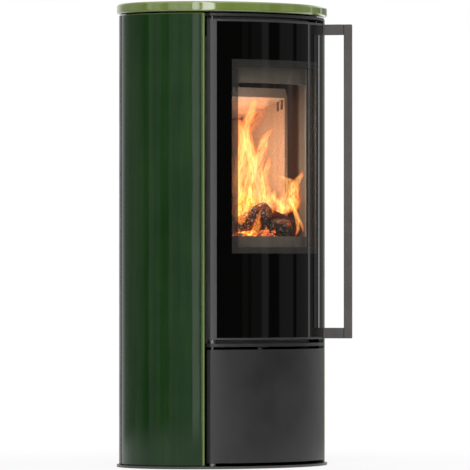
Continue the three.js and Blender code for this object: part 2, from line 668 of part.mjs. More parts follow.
function addPins() {
  const { pinRadius, grip, collarRadius } = hinge;
  const collared = (bottom, collarFrom, collarTo, top) => {
    const lower = [[0, bottom], [pinRadius, bottom], [pinRadius, collarFrom], [collarRadius, collarFrom]];
    const upper = [[collarRadius, collarTo], [pinRadius, collarTo], [pinRadius, top], [0, top]];
    return turned([...lower, ...upper]).rotateX(Math.PI / 2).translate(hingePlace.x, hingePlace.y, 0);
  };
  const bottomPin = collared(1, baseTop + touch, lowerDoorBottom - touch, lowerDoorBottom + grip);
  addMesh("hinge_pin_bottom", bottomPin, pinSteel);
  const middlePin = collared(lowerDoorTop - grip, middleTop + touch, fireDoorBottom - touch, fireDoorBottom + grip);
  addMesh("hinge_pin_middle", middlePin, pinSteel);
  addMesh("hinge_pin_top", rod(hingePlace.x, hingePlace.y, [fireDoorTop - grip, topPlateTop], pinRadius), pinSteel);
}

function addCatches() {
  const { width, depth, height, fromSide, behindRail } = magnetCatch;
  const middleX = oval.halfWidth - fromSide;
  const across = [middleX - width / 2, middleX + width / 2];
  const share = across[1] / (oval.halfWidth - lowerDoor.returnDepth);
  const front = behindRail - (oval.halfDepth - lowerDoor.returnDepth) * Math.sqrt(1 - share ** 2);
  const catchLevels = [middleBottom - touch - height, middleBottom - touch];
  addMesh("magnet_catch", block(across, [front, front + depth], catchLevels), castIron);

  // A roller on the front frame holds the fire door shut by the striker on the door's back.
  const { rollerRadius, rollerHeight, axleRadius, earThickness, fromTile } = latch;
  const z = (fireDoorBottom + fireDoorTop) / 2;
  const gapBehind = frontFrame.inset - fireDoor.thickness;
  const rollerInset = fireDoor.thickness + 1 + rollerRadius;
  const group = groupOnRightSkin(fromTile, rollerInset);
  const frameFace = gapBehind - rollerRadius - 1 - touch;
  const earZ = rollerHeight / 2 + touch;
  const halfEar = rollerRadius - 1;
  const ear = (from) => block([-halfEar, halfEar], [-halfEar, frameFace], [z + from, z + from + earThickness]);
  const back = block(
    [-halfEar, halfEar],
    [rollerRadius + latch.gapBehindRoller, frameFace],
    [z - earZ - earThickness, z + earZ + earThickness],
  );
  const axle = rod(0, 0, [z - earZ - earThickness / 2, z + earZ + earThickness / 2], axleRadius, pinSides);
  addSolid("latch_bracket", join(back, ear(earZ), ear(-earZ - earThickness), axle), bareSteel, group);

  const half = rollerHeight / 2;
  const bore = axleRadius + runningFit;
  const wheel = turned([[bore, -half], [rollerRadius, -half], [rollerRadius, half], [bore, half]], rollerSides);
  addMesh("latch_roller", wheel.rotateX(Math.PI / 2).translate(0, 0, z), pinSteel, group);

  const nearRoller = -rollerRadius - touch;
  const doorBack = -rollerRadius - 1 + 2 * touch;
  const plate = block(
    [nearRoller - striker.thickness, nearRoller],
    [doorBack, doorBack + striker.depth],
    [z - striker.height / 2, z + striker.height / 2],
  );
  addMesh("latch_striker", plate, bareSteel, group);
}

// ---------- Fire door ----------

function addFireDoor() {
  const { thickness, lip, webThickness, railHeight } = fireDoor;
  const levels = [fireDoorBottom, fireDoorTop];
  const backArc = skinArc(thickness, runAngle(doorEdge.gap), -runAngle(doorEdge.gap), frontSteps);
  const body = solid(prism([...frontOutline(thickness).slice(1, -1), ...backArc], levels));

  const stripRun = doorEdge.gap + doorEdge.bevel + doorEdge.strip;
  const webFront = glass.setBack + glass.thickness + glass.bed;
  const webBack = webFront + webThickness;
  const glassRecess = frontWall([-shortReach, webFront], stripRun, [fireDoorBottom + lip, fireDoorTop - lip]);
  const hollowLevels = [fireDoorBottom + railHeight, fireDoorTop - railHeight];
  const hollow = frontWall([webBack, thickness + shortReach], stripRun, hollowLevels);
  const windowLevels = [fireDoorBottom + windowOpening.aboveBottom, fireDoorTop - windowOpening.belowTop];
  const opening = frontWall([0, thickness], windowOpening.fromTile, windowLevels);
  const pinHoles = [
    pinHole([fireDoorBottom - 1, fireDoorBottom + hinge.grip + 1]),
    pinHole([fireDoorTop - hinge.grip - 1, fireDoorTop + 1]),
  ];
  addSolid("door_frame", cut(body, [glassRecess, hollow, opening, ...pinHoles]), anthracite);

  const glassInsets = [glass.setBack, glass.setBack + glass.thickness];
  const glassLevels = [fireDoorBottom + lip + touch, fireDoorTop - lip - touch];
  addMesh("door_glass", frontWall(glassInsets, stripRun + touch, glassLevels), blackGlass);

  // The inner pane lies against the back of the web, held by a bar down each side.
  const paneInsets = [webBack + touch, webBack + touch + innerPane.thickness];
  const paneRun = windowOpening.fromTile - innerPane.border;
  const paneLevels = [windowLevels[0] - innerPane.border, windowLevels[1] + innerPane.border];
  addMesh("inner_pane", frontWall(paneInsets, paneRun, paneLevels), clearGlass);
  const retainerInsets = [paneInsets[1] + touch, paneInsets[1] + touch + paneRetainer.thickness];
  const retainerRun = stripRun + paneRetainer.sideGap;
  const retainerAngles = [runAngle(retainerRun + paneRetainer.width), runAngle(retainerRun)];
  const mirroredAngles = retainerAngles.map((angle) => -angle).reverse();
  addMesh("pane_retainer_left", curvedWall(retainerInsets, mirroredAngles, paneLevels, retainerSteps), bareSteel);
  addMesh("pane_retainer_right", curvedWall(retainerInsets, retainerAngles, paneLevels, retainerSteps), bareSteel);

  // The rope seal runs round the back of the frame.
  const sealInsets = [thickness + touch, frontFrame.inset - touch];
  const sealRun = doorEdge.gap + seal.fromEdge;
  const rope = frontWall(sealInsets, sealRun, [fireDoorBottom + lip, fireDoorTop - lip]);
  const ropeLevels = [fireDoorBottom + lip + seal.width, fireDoorTop - lip - seal.width];
  const within = frontWall([thickness, frontFrame.inset], sealRun + seal.width, ropeLevels);
  addSolid("door_seal", cut(solid(rope), [within]), sealRope);
}

// The full-height bar stands off the right-hand strip of the fire door on two arms.
const handleRun = doorEdge.gap + doorEdge.bevel + doorEdge.strip / 2;

function roundedRectangle([x0, x1], [y0, y1], radius) {
  const corners = [[x1, y0, -90], [x1, y1, 0], [x0, y1, 90], [x0, y0, 180]];
  const centreX = (x) => (x === x0 ? x0 + radius : x1 - radius);
  const centreY = (y) => (y === y0 ? y0 + radius : y1 - radius);
  return corners.flatMap(([x, y, start]) =>
    [0, 45, 90].map((turn) => {
      const angle = THREE.MathUtils.degToRad(start + turn);
      return new THREE.Vector2(centreX(x) + radius * Math.cos(angle), centreY(y) + radius * Math.sin(angle));
    }),
  );
}

function addHandle() {
  const { reach, barDepth, barWidth, armWidth, armHeight, edgeRadius } = handle;
  const group = groupOnRightSkin(handleRun, 0);
  const section = roundedRectangle([-barWidth / 2, barWidth / 2], [-reach - barDepth, -reach], edgeRadius);
  const bottom = fireDoorBottom + 1;
  const top = fireDoorTop - 1;
  addMesh("handle_bar", prism(section, [bottom, top]), anthracite, group);
  const arms = { handle_arm_bottom: bottom, handle_arm_top: top - armHeight };
  for (const [name, z] of Object.entries(arms)) {
    const arm = block([-armWidth / 2, armWidth / 2], [touch - reach, -touch], [z, z + armHeight]);
    addMesh(name, arm, anthracite, group);
  }
}

// ---------- Lower door ----------

function addLowerDoor() {
  const { sheet, returnDepth, railThickness } = lowerDoor;
  const levels = [lowerDoorBottom, lowerDoorTop];
  const panel = [...frontOutline(returnDepth), ...frontOutline(returnDepth, sheet).reverse()];
  addMesh("lower_door_panel", prism(panel, levels), anthracite);

  const inside = sheet + touch;
  const backArc = skinArc(returnDepth, runAngle(doorEdge.gap + inside), -runAngle(doorEdge.gap + inside), frontSteps);
  const rail = [...frontOutline(returnDepth, inside).slice(1, -1), ...backArc];
  const rails = {
    lower_door_rail_bottom: [lowerDoorBottom, lowerDoorBottom + railThickness],
    lower_door_rail_top: [lowerDoorTop - railThickness, lowerDoorTop],
  };
  for (const [name, [z0, z1]] of Object.entries(rails)) {
    addSolid(name, cut(solid(prism(rail, [z0, z1])), [pinHole([z0 - 1, z1 + 1])]), anthracite);
  }
}

// ---------- The stove ----------

addBase();
addPlates();
addSideFrames();
addRearCasing();
addTiles();
addTileBrackets();
addFireboxShell();
addFrontFrame();
addLining();
addGrate();
addAshPan();
addAirSlider();
addPins();
addCatches();
addFireDoor();
addHandle();
addLowerDoor();

// The spigot reaches as far behind the origin as the rest of the stove reaches in front of it, so that the
// origin is the middle of the whole part.
stove.updateMatrixWorld(true);
addFlueSpigot(-new THREE.Box3().setFromObject(stove, true).min.y);

export default stove;
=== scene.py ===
"""Dresses a tall oval log-burning stove with glazed tiles, a curved glass fire door and a burning fire."""

import functools
import logging
import math
import random
from collections.abc import Sequence
from dataclasses import dataclass, field
from enum import Enum

import bpy
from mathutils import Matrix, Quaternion, Vector, noise


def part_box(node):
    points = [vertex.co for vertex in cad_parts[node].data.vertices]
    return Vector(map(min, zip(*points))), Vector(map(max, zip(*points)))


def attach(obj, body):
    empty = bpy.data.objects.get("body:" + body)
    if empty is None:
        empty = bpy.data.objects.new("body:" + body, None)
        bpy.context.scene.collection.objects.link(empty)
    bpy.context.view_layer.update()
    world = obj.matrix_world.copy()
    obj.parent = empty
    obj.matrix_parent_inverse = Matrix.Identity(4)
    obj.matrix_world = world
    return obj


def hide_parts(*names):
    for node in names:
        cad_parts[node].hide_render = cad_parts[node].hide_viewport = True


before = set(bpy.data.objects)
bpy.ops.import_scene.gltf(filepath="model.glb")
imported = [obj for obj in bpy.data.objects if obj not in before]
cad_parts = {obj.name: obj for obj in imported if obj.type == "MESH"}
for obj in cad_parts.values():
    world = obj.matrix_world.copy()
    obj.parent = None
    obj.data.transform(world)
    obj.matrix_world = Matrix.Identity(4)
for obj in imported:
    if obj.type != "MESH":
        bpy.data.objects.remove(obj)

Point = tuple[float, float]
Levels = tuple[float, float]
Colour = tuple[float, float, float]
Socket = bpy.types.NodeSocket

LOG = logging.getLogger("tiled_stove")


class Body(Enum):
    """The moving bodies of the stove, by the names the frame gives them."""

    STOVE = "stove_body"
    FIRE_DOOR = "fire_door"
    LOWER_DOOR = "lower_door"


# ---------------------------------------------------------------------------------------------- the plan


@dataclass(frozen=True)
class Plan:
    """The oval that every outer piece follows. Angles run round from the front, insets go inwards."""

    half_width: float = 0.290
    half_depth: float = 0.220
    back: float = 0.185
    seam: float = math.radians(46.8)
    tile_rear: float = math.radians(115)
    gap: float = 0.004
    bevel: float = 0.009
    strip: float = 0.016
    steps: int = 72

    def skin(self, angle: float, inset: float = 0.0) -> Point:
        """Returns the point of the oval at an angle, moved inwards by an inset.

        Args:
            angle: The angle, round from the front.
            inset: How far inside the skin it lies.

        Returns:
            Its place in plan.
        """
        x = (self.half_width - inset) * math.sin(angle)
        y = -(self.half_depth - inset) * math.cos(angle)
        return (x, y)

    def per_radian(self, angle: float) -> float:
        """Returns the length of skin per radian at an angle."""
        return math.hypot(self.half_width * math.cos(angle), self.half_depth * math.sin(angle))

    def run_angle(self, run: float) -> float:
        """Returns the angle that lies a run along the skin in front of the tile's edge."""
        return self.seam - run / self.per_radian(self.seam)

    def facing(self, angle: float) -> float:
        """Returns the turn about the vertical of the skin's outward direction."""
        return math.atan2(math.sin(angle) / self.half_width, math.cos(angle) / self.half_depth)

    def arc(self, inset: float, start: float, end: float, steps: int) -> list[Point]:
        """Returns points along the oval.

        Args:
            inset: How far inside the skin the arc runs.
            start: The angle it starts at.
            end: The angle it ends at.
            steps: How many straight pieces it has.

        Returns:
            The arc's points, both ends included.
        """
        return [self.skin(start + (end - start) * step / steps, inset) for step in range(steps + 1)]

    def back_angle(self, inset: float, y: float) -> float:
        """Returns the angle at which an oval with this inset reaches a flat back at y."""
        return math.acos(-y / (self.half_depth - inset))

    def oval(self, inset: float, back: float) -> list[Point]:
        """Returns the outline of a plate with a flat back, moved inwards by an inset."""
        rear = self.back_angle(inset, back)
        return self.arc(inset, -rear, rear, 2 * self.steps)

    def front(self, rear_inset: float, shrink: float = 0.0) -> list[Point]:
        """Returns the bevelled outline that both doors and both front plates share.

        Args:
            rear_inset: The inset of its two rear corners.
            shrink: How far it is moved inwards all round.

        Returns:
            Its points from the left rear corner to the right rear corner.
        """
        side = self.gap + shrink
        bevel = self.bevel + shrink * math.tan(math.pi / 8)
        end = self.run_angle(self.gap + bevel)

        def corner(which: int) -> list[Point]:
            """Returns the rear corner and the bevel's rear end on one side."""
            angle = which * self.run_angle(side)
            return [self.skin(angle, rear_inset), self.skin(angle, bevel)]

        return corner(-1) + self.arc(shrink, -end, end, self.steps) + corner(1)[::-1]

    def wall(self, insets: Levels, angles: Levels, steps: int) -> list[Point]:
        """Returns the plan of a curved wall.

        Args:
            insets: The insets of its outer and inner face.
            angles: The angles of its two ends.
            steps: How many straight pieces each face has.

        Returns:
            Its points, turning left seen from above.
        """
        outer = self.arc(insets[0], angles[0], angles[1], steps)
        inner = self.arc(insets[1], angles[1], angles[0], steps)
        return outer + inner


PLAN = Plan()


# ------------------------------------------------------------------------------------------ making meshes


@dataclass
class MeshMaker:
    """Collects vertices and faces for one piece, and makes its object."""

    name: str
    points: list[tuple[float, float, float]] = field(default_factory=list)
    faces: list[tuple[int, ...]] = field(default_factory=list)
    finish_of_face: list[int] = field(default_factory=list)
    wear: list[float] = field(default_factory=list)

    def add_face(self, corners: Sequence[int], finish: int = 0) -> None:
        """Adds one face by its corners, with the number of its finish."""
        self.faces.append(tuple(corners))
        self.finish_of_face.append(finish)

    def add_points(self, points: Sequence[tuple[float, float, float]]) -> int:
        """Adds points without wear.

        Args:
            points: Their places.

        Returns:
            The number of the first one.
        """
        first = len(self.points)
        self.points.extend(points)
        self.wear.extend([0.0] * len(points))
        return first

    def add_sheet(self, first: int, rows: int, columns: int) -> None:
        """Adds the faces of a sheet whose points stand in rows.

        Args:
            first: The number of its first point.
            rows: How many faces it has upwards.
            columns: How many faces it has in a row.
        """
        width = columns + 1
        for row in range(rows):
            for column in range(columns):
                corner = first + row * width + column
                self.add_face([corner, corner + 1, corner + width + 1, corner + width])

    def add_tube(self, first: int, rings: int, sectors: int) -> None:
        """Adds the faces of a tube whose points stand in rings.

        Args:
            first: The number of its first point.
            rings: How many faces it has along it.
            sectors: How many faces it has round it.
        """
        for ring in range(rings):
            low, high = first + ring * sectors, first + (ring + 1) * sectors
            for sector in range(sectors):
                after = (sector + 1) % sectors
                self.add_face([low + sector, high + sector, high + after, low + after])

    def prism(self, outline: Sequence[Point], levels: Levels, finish: int = 0) -> None:
        """Adds an outline in plan, raised between two levels.

        Args:
            outline: Its points, turning left seen from above.
            levels: The height of its foot and of its top.
            finish: The number of its finish.
        """
        count = len(outline)
        low = self.add_points([(x, y, levels[0]) for x, y in outline])
        high = self.add_points([(x, y, levels[1]) for x, y in outline])
        self.add_face([low + i for i in reversed(range(count))], finish)
        self.add_face([high + i for i in range(count)], finish)
        for i in range(count):
            after = (i + 1) % count
            self.add_face([low + i, low + after, high + after, high + i], finish)

    def box(self, x: Levels, y: Levels, z: Levels, finish: int = 0) -> None:
        """Adds a block between two values on each axis."""
        self.prism([(x[0], y[0]), (x[1], y[0]), (x[1], y[1]), (x[0], y[1])], z, finish)

    def soft_prism(
        self,
        outline: Sequence[Point],
        levels: Levels,
        radius: float,
        corner_wear: Sequence[float] | None = None,
        steps: int = 6,
    ) -> None:
        """Adds an outline in plan, raised between two levels, with rounded upper and lower edges.

        Args:
            outline: Its points, turning left seen from above.
            levels: The height of its foot and of its top.
            radius: The radius of the rounded edges.
            corner_wear: How thin the glaze is at each point of the outline, from 0 to 1.
            steps: How many straight pieces each rounding has.
        """
        count = len(outline)
        inwards = inward_steps(outline)
        turns = [step / steps * math.pi / 2 for step in range(steps + 1)]
        rings = [(radius * (1 - math.sin(turn)), levels[0] + radius * (1 - math.cos(turn))) for turn in turns]
        rings += [(inset, levels[0] + levels[1] - z) for inset, z in reversed(rings)]
        starts = []
        for inset, z in rings:
            places = [(x + dx * inset, y + dy * inset, z) for (x, y), (dx, dy) in zip(outline, inwards)]
            starts.append(self.add_points(places))
            edge_wear = min(1.0, 1.6 * inset / radius)
            for i in range(count):
                at_corner = corner_wear[i] if corner_wear else 0.0
                self.wear[starts[-1] + i] = max(edge_wear, at_corner)
        self.add_face([starts[0] + i for i in reversed(range(count))])
        self.add_face([starts[-1] + i for i in range(count)])
        for low, high in zip(starts, starts[1:]):
            for i in range(count):
                after = (i + 1) % count
                self.add_face([low + i, low + after, high + after, high + i])

    def build(self, materials: Sequence[bpy.types.Material], sharp_deg: float = 35.0) -> bpy.types.Object:
        """Makes the object, shaded smooth except across sharp edges.

        Args:
            materials: Its finishes, in the order of their numbers.
            sharp_deg: The angle between two faces from which their edge stays sharp.

        Returns:
            The new object, linked to the scene.
        """
        mesh = bpy.data.meshes.new(self.name)
        mesh.from_pydata(self.points, [], self.faces)
        for material in materials:
            mesh.materials.append(material)
        mesh.polygons.foreach_set("material_index", self.finish_of_face)
        mesh.polygons.foreach_set("use_smooth", [True] * len(self.faces))
        mesh.attributes.new("wear", "FLOAT", "POINT").data.foreach_set("value", self.wear)
        mesh.set_sharp_from_angle(angle=math.radians(sharp_deg))
        mesh.validate()
        piece = bpy.data.objects.new(self.name, mesh)
        bpy.context.scene.collection.objects.link(piece)
        return piece


def inward_steps(outline: Sequence[Point]) -> list[Point]:
    """Returns for each point of an outline how far it moves when every side moves inwards by one.

    Args:
        outline: The outline's points, turning left seen from above.

    Returns:
        One step per point.
    """
    steps = []
    for i, place in enumerate(outline):
        here = Vector(place)
        before = (here - Vector(outline[i - 1])).normalized()
        after = (Vector(outline[(i + 1) % len(outline)]) - here).normalized()
        middle = (Vector((-before.y, before.x)) + Vector((-after.y, after.x))).normalized()
        reach = max(0.3, middle.dot(Vector((-before.y, before.x))))
        steps.append(tuple(middle / reach))
    return steps


def soften(piece: bpy.types.Object, width: float, segments: int = 3) -> bpy.types.Object:
    """Rounds a piece's sharp edges a little, so that they catch the light.

    Args:
        piece: The piece.
        width: How far the rounding reaches from each edge.
        segments: How many straight pieces it has.

    Returns:
        The same piece.
    """
    bevel = piece.modifiers.new("soft_edges", "BEVEL")
    bevel.width = width
    bevel.segments = segments
    bevel.limit_method = "ANGLE"
    bevel.angle_limit = math.radians(30)
    bevel.use_clamp_overlap = True
    bevel.harden_normals = True
    return piece


def place(piece: bpy.types.Object, body: Body, slot: str | None, *nodes: str) -> bpy.types.Object:
    """Lets a piece ride on a body and stand for CAD nodes.

    Args:
        piece: The piece.
        body: The body that it moves with.
        slot: Not used.
        nodes: The CAD nodes that it stands for.

    Returns:
        The same piece.
    """
    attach(piece, body.value)
    if nodes:
        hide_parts(*nodes)
    LOG.info("%s rides on %s and stands for %s", piece.name, body.value, ", ".join(nodes) or "nothing")
    return piece


def dress(finish: "Finish", *nodes: str) -> None:
    """Gives CAD nodes a finish.

    Args:
        finish: The finish.
        nodes: The names of the nodes.
    """
    for node in nodes:
        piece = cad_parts[node]
        for material_slot in piece.material_slots:
            material_slot.material = finish.material()
        if not piece.material_slots:
            piece.data.materials.append(finish.material())
        LOG.info("%s is dressed in %s", node, finish.name)


def toned(colour: Colour, factor: float) -> Colour:
    """Returns a colour made darker or lighter by a factor."""
    return tuple(factor * part for part in colour)


def levels_of(node: str) -> Levels:
    """Returns the lowest and highest level of a CAD node."""
    low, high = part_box(node)
    return (low.z, high.z)


# ------------------------------------------------------------------------------------------ node boards


class NodeBoard:
    """A node tree with short calls for the nodes that the finishes use."""

    def __init__(self, tree: bpy.types.NodeTree) -> None:
        """Clears the tree and keeps it."""
        self.tree = tree
        tree.nodes.clear()

    def add(self, kind: str, inputs: dict[str, object] | None = None, **settings: object) -> bpy.types.Node:
        """Adds a node.

        Args:
            kind: The node's type.
            inputs: Values or sockets for its inputs, by name.
            settings: Values for its own settings, by name.

        Returns:
            The node.
        """
        node = self.tree.nodes.new(kind)
        for name, value in settings.items():
            setattr(node, name, value)
        for name, value in (inputs or {}).items():
            self.feed(node.inputs[name], value)
        return node

    def feed(self, socket: Socket, value: object) -> None:
        """Links a socket to an input, or sets the input to a value.

        Args:
            socket: The input.
            value: A socket, a colour or a number.
        """
        if isinstance(value, bpy.types.NodeSocket):
            self.tree.links.new(value, socket)
        elif isinstance(value, tuple) and len(value) == 3 and socket.type == "RGBA":
            socket.default_value = (*value, 1.0)
        else:
            socket.default_value = value

    def place_in_frame(self, stretch: tuple[float, float, float] = (1.0, 1.0, 1.0)) -> Socket:
        """Returns the object's own coordinates in metres, multiplied on each axis."""
        coordinates = self.add("ShaderNodeTexCoord").outputs["Object"]
        return self.add("ShaderNodeMapping", {"Vector": coordinates, "Scale": stretch}).outputs["Vector"]

    def noise(self, vector: Socket, scale: float, detail: float = 4.0, rough: float = 0.55) -> Socket:
        """Returns a noise value from 0 to 1 at a vector."""
        inputs = {"Vector": vector, "Scale": scale, "Detail": detail, "Roughness": rough}
        return self.add("ShaderNodeTexNoise", inputs).outputs["Fac"]

    def cells(self, vector: Socket, scale: float, feature: str = "F1") -> Socket:
        """Returns the distance to the nearest cell of a scattered pattern."""
        node = self.add("ShaderNodeTexVoronoi", {"Vector": vector, "Scale": scale}, feature=feature)
        return node.outputs["Distance"]

    def between(self, value: Socket, start: float, end: float, low: float = 0.0, high: float = 1.0) -> Socket:
        """Returns a value mapped smoothly from one range to another, and held at its ends."""
        inputs = {"Value": value, "From Min": start, "From Max": end, "To Min": low, "To Max": high}
        return self.add("ShaderNodeMapRange", inputs, interpolation_type="SMOOTHSTEP").outputs["Result"]

    def maths(self, operation: str, first: object, second: object = 0.0) -> Socket:
        """Returns the result of an operation on two values.

        Args:
            operation: The name of the operation.
            first: The first value.
            second: The second value.

        Returns:
            The result.
        """
        node = self.add("ShaderNodeMath", operation=operation)
        self.feed(node.inputs[0], first)
        self.feed(node.inputs[1], second)
        return node.outputs[0]

    def mixed(self, share: object, first: object, second: object) -> Socket:
        """Returns a colour between two colours.

        Args:
            share: How much of the second colour it holds.
            first: The first colour.
            second: The second colour.

        Returns:
            The mixed colour.
        """
        node = self.add("ShaderNodeMix", data_type="RGBA")
        self.feed(node.inputs[0], share)
        self.feed(node.inputs[6], first)
        self.feed(node.inputs[7], second)
        return node.outputs[2]

    def ramp(self, value: Socket, stops: Sequence[tuple[float, Colour]]) -> Socket:
        """Returns a colour from a row of colours along a value.

        Args:
            value: The value, from 0 to 1.
            stops: The colours, each with its position.

        Returns:
            The colour at the value.
        """
        node = self.add("ShaderNodeValToRGB", {"Fac": value})
        elements = node.color_ramp.elements
        while len(elements) < len(stops):
            elements.new(1.0)
        for element, (position, colour) in zip(elements, stops):
            element.position = position
            element.color = (*colour, 1.0)
        return node.outputs["Color"]

    def bump(self, height: Socket, strength: float, distance: float, under: Socket | None = None) -> Socket:
        """Returns a surface direction that a height pattern tilts.

        Args:
            height: The height pattern.
            strength: How much it shows, from 0 to 1.
            distance: How deep it is.
            under: A direction that is tilted already.

        Returns:
            The tilted direction.
        """
        inputs = {"Height": height, "Strength": strength, "Distance": distance}
        node = self.add("ShaderNodeBump", inputs)
        if under:
            self.feed(node.inputs["Normal"], under)
        return node.outputs["Normal"]

    def attribute(self, name: str) -> Socket:
        """Returns a value stored on the mesh."""
        return self.add("ShaderNodeAttribute", attribute_name=name).outputs["Fac"]

    def principled(self, inputs: dict[str, object]) -> Socket:
        """Returns a general surface shader."""
        return self.add("ShaderNodeBsdfPrincipled", inputs).outputs["BSDF"]

    def show(self, shader: Socket) -> None:
        """Links a shader to the material's surface."""
        self.tree.links.new(shader, self.add("ShaderNodeOutputMaterial").inputs["Surface"])


@dataclass(frozen=True)
class Finish:
    """A finish with a name, which makes its material once."""

    name: str

    @functools.cache
    def material(self) -> bpy.types.Material:
        """Returns the finish's material, made once.

        Returns:
            The material.
        """
        made = bpy.data.materials.new(self.name)
        made.use_nodes = True
        board = NodeBoard(made.node_tree)
        board.show(self.shader(board))
        return made

    def shader(self, board: NodeBoard) -> Socket:
        """Returns the finish's shader on a node board.

        Args:
            board: The node board of the material.

        Returns:
            The shader to show on the surface.
        """
        raise NotImplementedError


@dataclass(frozen=True)
class Glaze(Finish):
    """A glossy coloured glaze that runs thin and pale over edges, with faint upright streaks."""

    deep: Colour = (0.008, 0.031, 0.007)
    pale: Colour = (0.016, 0.047, 0.013)
    thin: Colour = (0.20, 0.26, 0.08)
    shine: float = 1.33
    thin_share: float = 1.0

    def shader(self, board: NodeBoard) -> Socket:
        """Returns the glaze's shader on a node board.

        Args:
            board: The node board of the material.

        Returns:
            The shader to show on the surface.
        """
        upright = board.place_in_frame((1.0, 1.0, 0.06))
        streaks = board.noise(upright, 26.0, detail=3.0)
        clouds = board.noise(board.place_in_frame(), 7.0, detail=3.0)
        streak_part = board.maths("MULTIPLY", streaks, 0.65)
        depth = board.maths("ADD", streak_part, board.maths("MULTIPLY", clouds, 0.35))
        colour = board.mixed(board.between(depth, 0.36, 0.66), self.deep, self.pale)
        worn = board.maths("MULTIPLY", board.attribute("wear"), self.thin_share)
        ragged = board.noise(board.place_in_frame(), 160.0, detail=2.0)
        uneven = board.maths("ADD", worn, board.maths("MULTIPLY", ragged, 0.25))
        colour = board.mixed(board.between(uneven, 0.35, 0.85), colour, self.thin)
        ripples = board.noise(board.place_in_frame((1.0, 1.0, 0.10)), 22.0, detail=2.0)
        pits = board.between(board.cells(board.place_in_frame(), 420.0), 0.0, 0.18)
        direction = board.bump(ripples, 0.10, 0.004)
        direction = board.bump(pits, 0.04, 0.0004, direction)
        rough = board.between(board.noise(board.place_in_frame(), 60.0), 0.3, 0.7, 0.05, 0.10)
        return board.principled(
            {"Base Color": colour, "Roughness": rough, "IOR": self.shine, "Normal": direction}
        )


@dataclass(frozen=True)
class Paint(Finish):
    """Heat-proof satin paint on steel, with a very fine grain and slightly uneven sheen."""

    colour: Colour = (0.022, 0.022, 0.0218)
    low_rough: float = 0.34
    high_rough: float = 0.46
    metallic: float = 0.0
    grain: float = 0.12
    shine: float = 1.5
    round_facets: float = 0.0

    def shader(self, board: NodeBoard) -> Socket:
        """Returns the paint's shader on a node board.

        Args:
            board: The node board of the material.

        Returns:
            The shader to show on the surface.
        """
        place_in_frame = board.place_in_frame()
        grain = board.noise(place_in_frame, 1400.0, detail=2.0)
        clouds = board.noise(place_in_frame, 9.0, detail=4.0)
        darker = toned(self.colour, 0.86)
        lighter = toned(self.colour, 1.12)
        shade = board.maths("ADD", board.maths("MULTIPLY", clouds, 0.7), board.maths("MULTIPLY", grain, 0.3))
        colour = self.tone(board, board.mixed(board.between(shade, 0.35, 0.65), darker, lighter))
        rough = board.between(clouds, 0.3, 0.7, self.low_rough, self.high_rough)
        smooth = None
        if self.round_facets:
            smooth = board.add("ShaderNodeBevel", {"Radius": self.round_facets}, samples=6).outputs["Normal"]
        return board.principled(
            {
                "Base Color": colour,
                "Roughness": rough,
                "IOR": self.shine,
                "Metallic": self.metallic,
                "Normal": board.bump(grain, self.grain, 0.0002, smooth),
            }
        )

    def tone(self, board: NodeBoard, colour: Socket) -> Socket:
        """Returns the paint's colour, changed where a finish needs it."""
        return colour


@dataclass(frozen=True)
class PaintedShadeSteel(Paint):
    """Painted steel with a painted shade behind an upright line: the wall's rear part is darkened where the
    lining's front edge shades it.
    """

    # The dark colour and the two depths below set a painted shade. It stands for the shadow in the recess
    # behind the lining's front edge.
    soot_and_painted_shade: Colour = (0.022, 0.007, 0.004)
    unshaded_at: float = -0.098
    shaded_at: float = -0.086

    def tone(self, board: NodeBoard, colour: Socket) -> Socket:
        """Returns the paint's colour with a painted shade over its rear part.

        Args:
            board: The node board.
            colour: The unshaded paint's colour.

        Returns:
            The colour with the painted shade.
        """
        coordinates = board.place_in_frame()
        depth = board.add("ShaderNodeSeparateXYZ", {0: coordinates}).outputs[1]
        ragged = board.maths("MULTIPLY", board.noise(coordinates, 35.0), 0.006)
        # Painted shade: the wall turns to the dark colour behind this depth.
        share = board.between(board.maths("ADD", depth, ragged), self.unshaded_at, self.shaded_at)
        return board.mixed(share, colour, self.soot_and_painted_shade)


@dataclass(frozen=True)
class BareSteel(Finish):
    """Bare rolled steel with fine drawn lines and a few darker heat marks."""

    colour: Colour = (0.36, 0.355, 0.34)
    metallic: float = 1.0
    along: tuple[float, float, float] = (1.0, 1.0, 0.02)

    def shader(self, board: NodeBoard) -> Socket:
        """Returns the steel's shader on a node board.

        Args:
            board: The node board of the material.

        Returns:
            The shader to show on the surface.
        """
        lines = board.noise(board.place_in_frame(self.along), 900.0, detail=3.0)
        marks = board.noise(board.place_in_frame(), 30.0, detail=5.0)
        darker = toned(self.colour, 0.6)
        colour = board.mixed(board.between(marks, 0.3, 0.75), darker, self.colour)
        rough = board.between(lines, 0.3, 0.7, 0.24, 0.42)
        return board.principled(
            {
                "Base Color": colour,
                "Metallic": self.metallic,
                "Roughness": rough,
                "Normal": board.bump(lines, 0.15, 0.0002),
            }
        )


@dataclass(frozen=True)
class CastIron(Finish):
    """Dark sand-cast iron with a pebbled skin and a dusting of ash."""

    colour: Colour = (0.030, 0.029, 0.028)
    ash: Colour = (0.20, 0.19, 0.18)

    def shader(self, board: NodeBoard) -> Socket:
        """Returns the iron's shader on a node board.

        Args:
            board: The node board of the material.

        Returns:
            The shader to show on the surface.
        """
        pebbles = board.noise(board.place_in_frame(), 420.0, detail=4.0)
        dust = board.noise(board.place_in_frame(), 45.0, detail=6.0)
        colour = board.mixed(board.between(dust, 0.52, 0.78), self.colour, self.ash)
        return board.principled(
            {
                "Base Color": colour,
                "Roughness": board.between(dust, 0.4, 0.7, 0.6, 0.9),
                "Normal": board.bump(pebbles, 0.5, 0.0006),
            }
        )


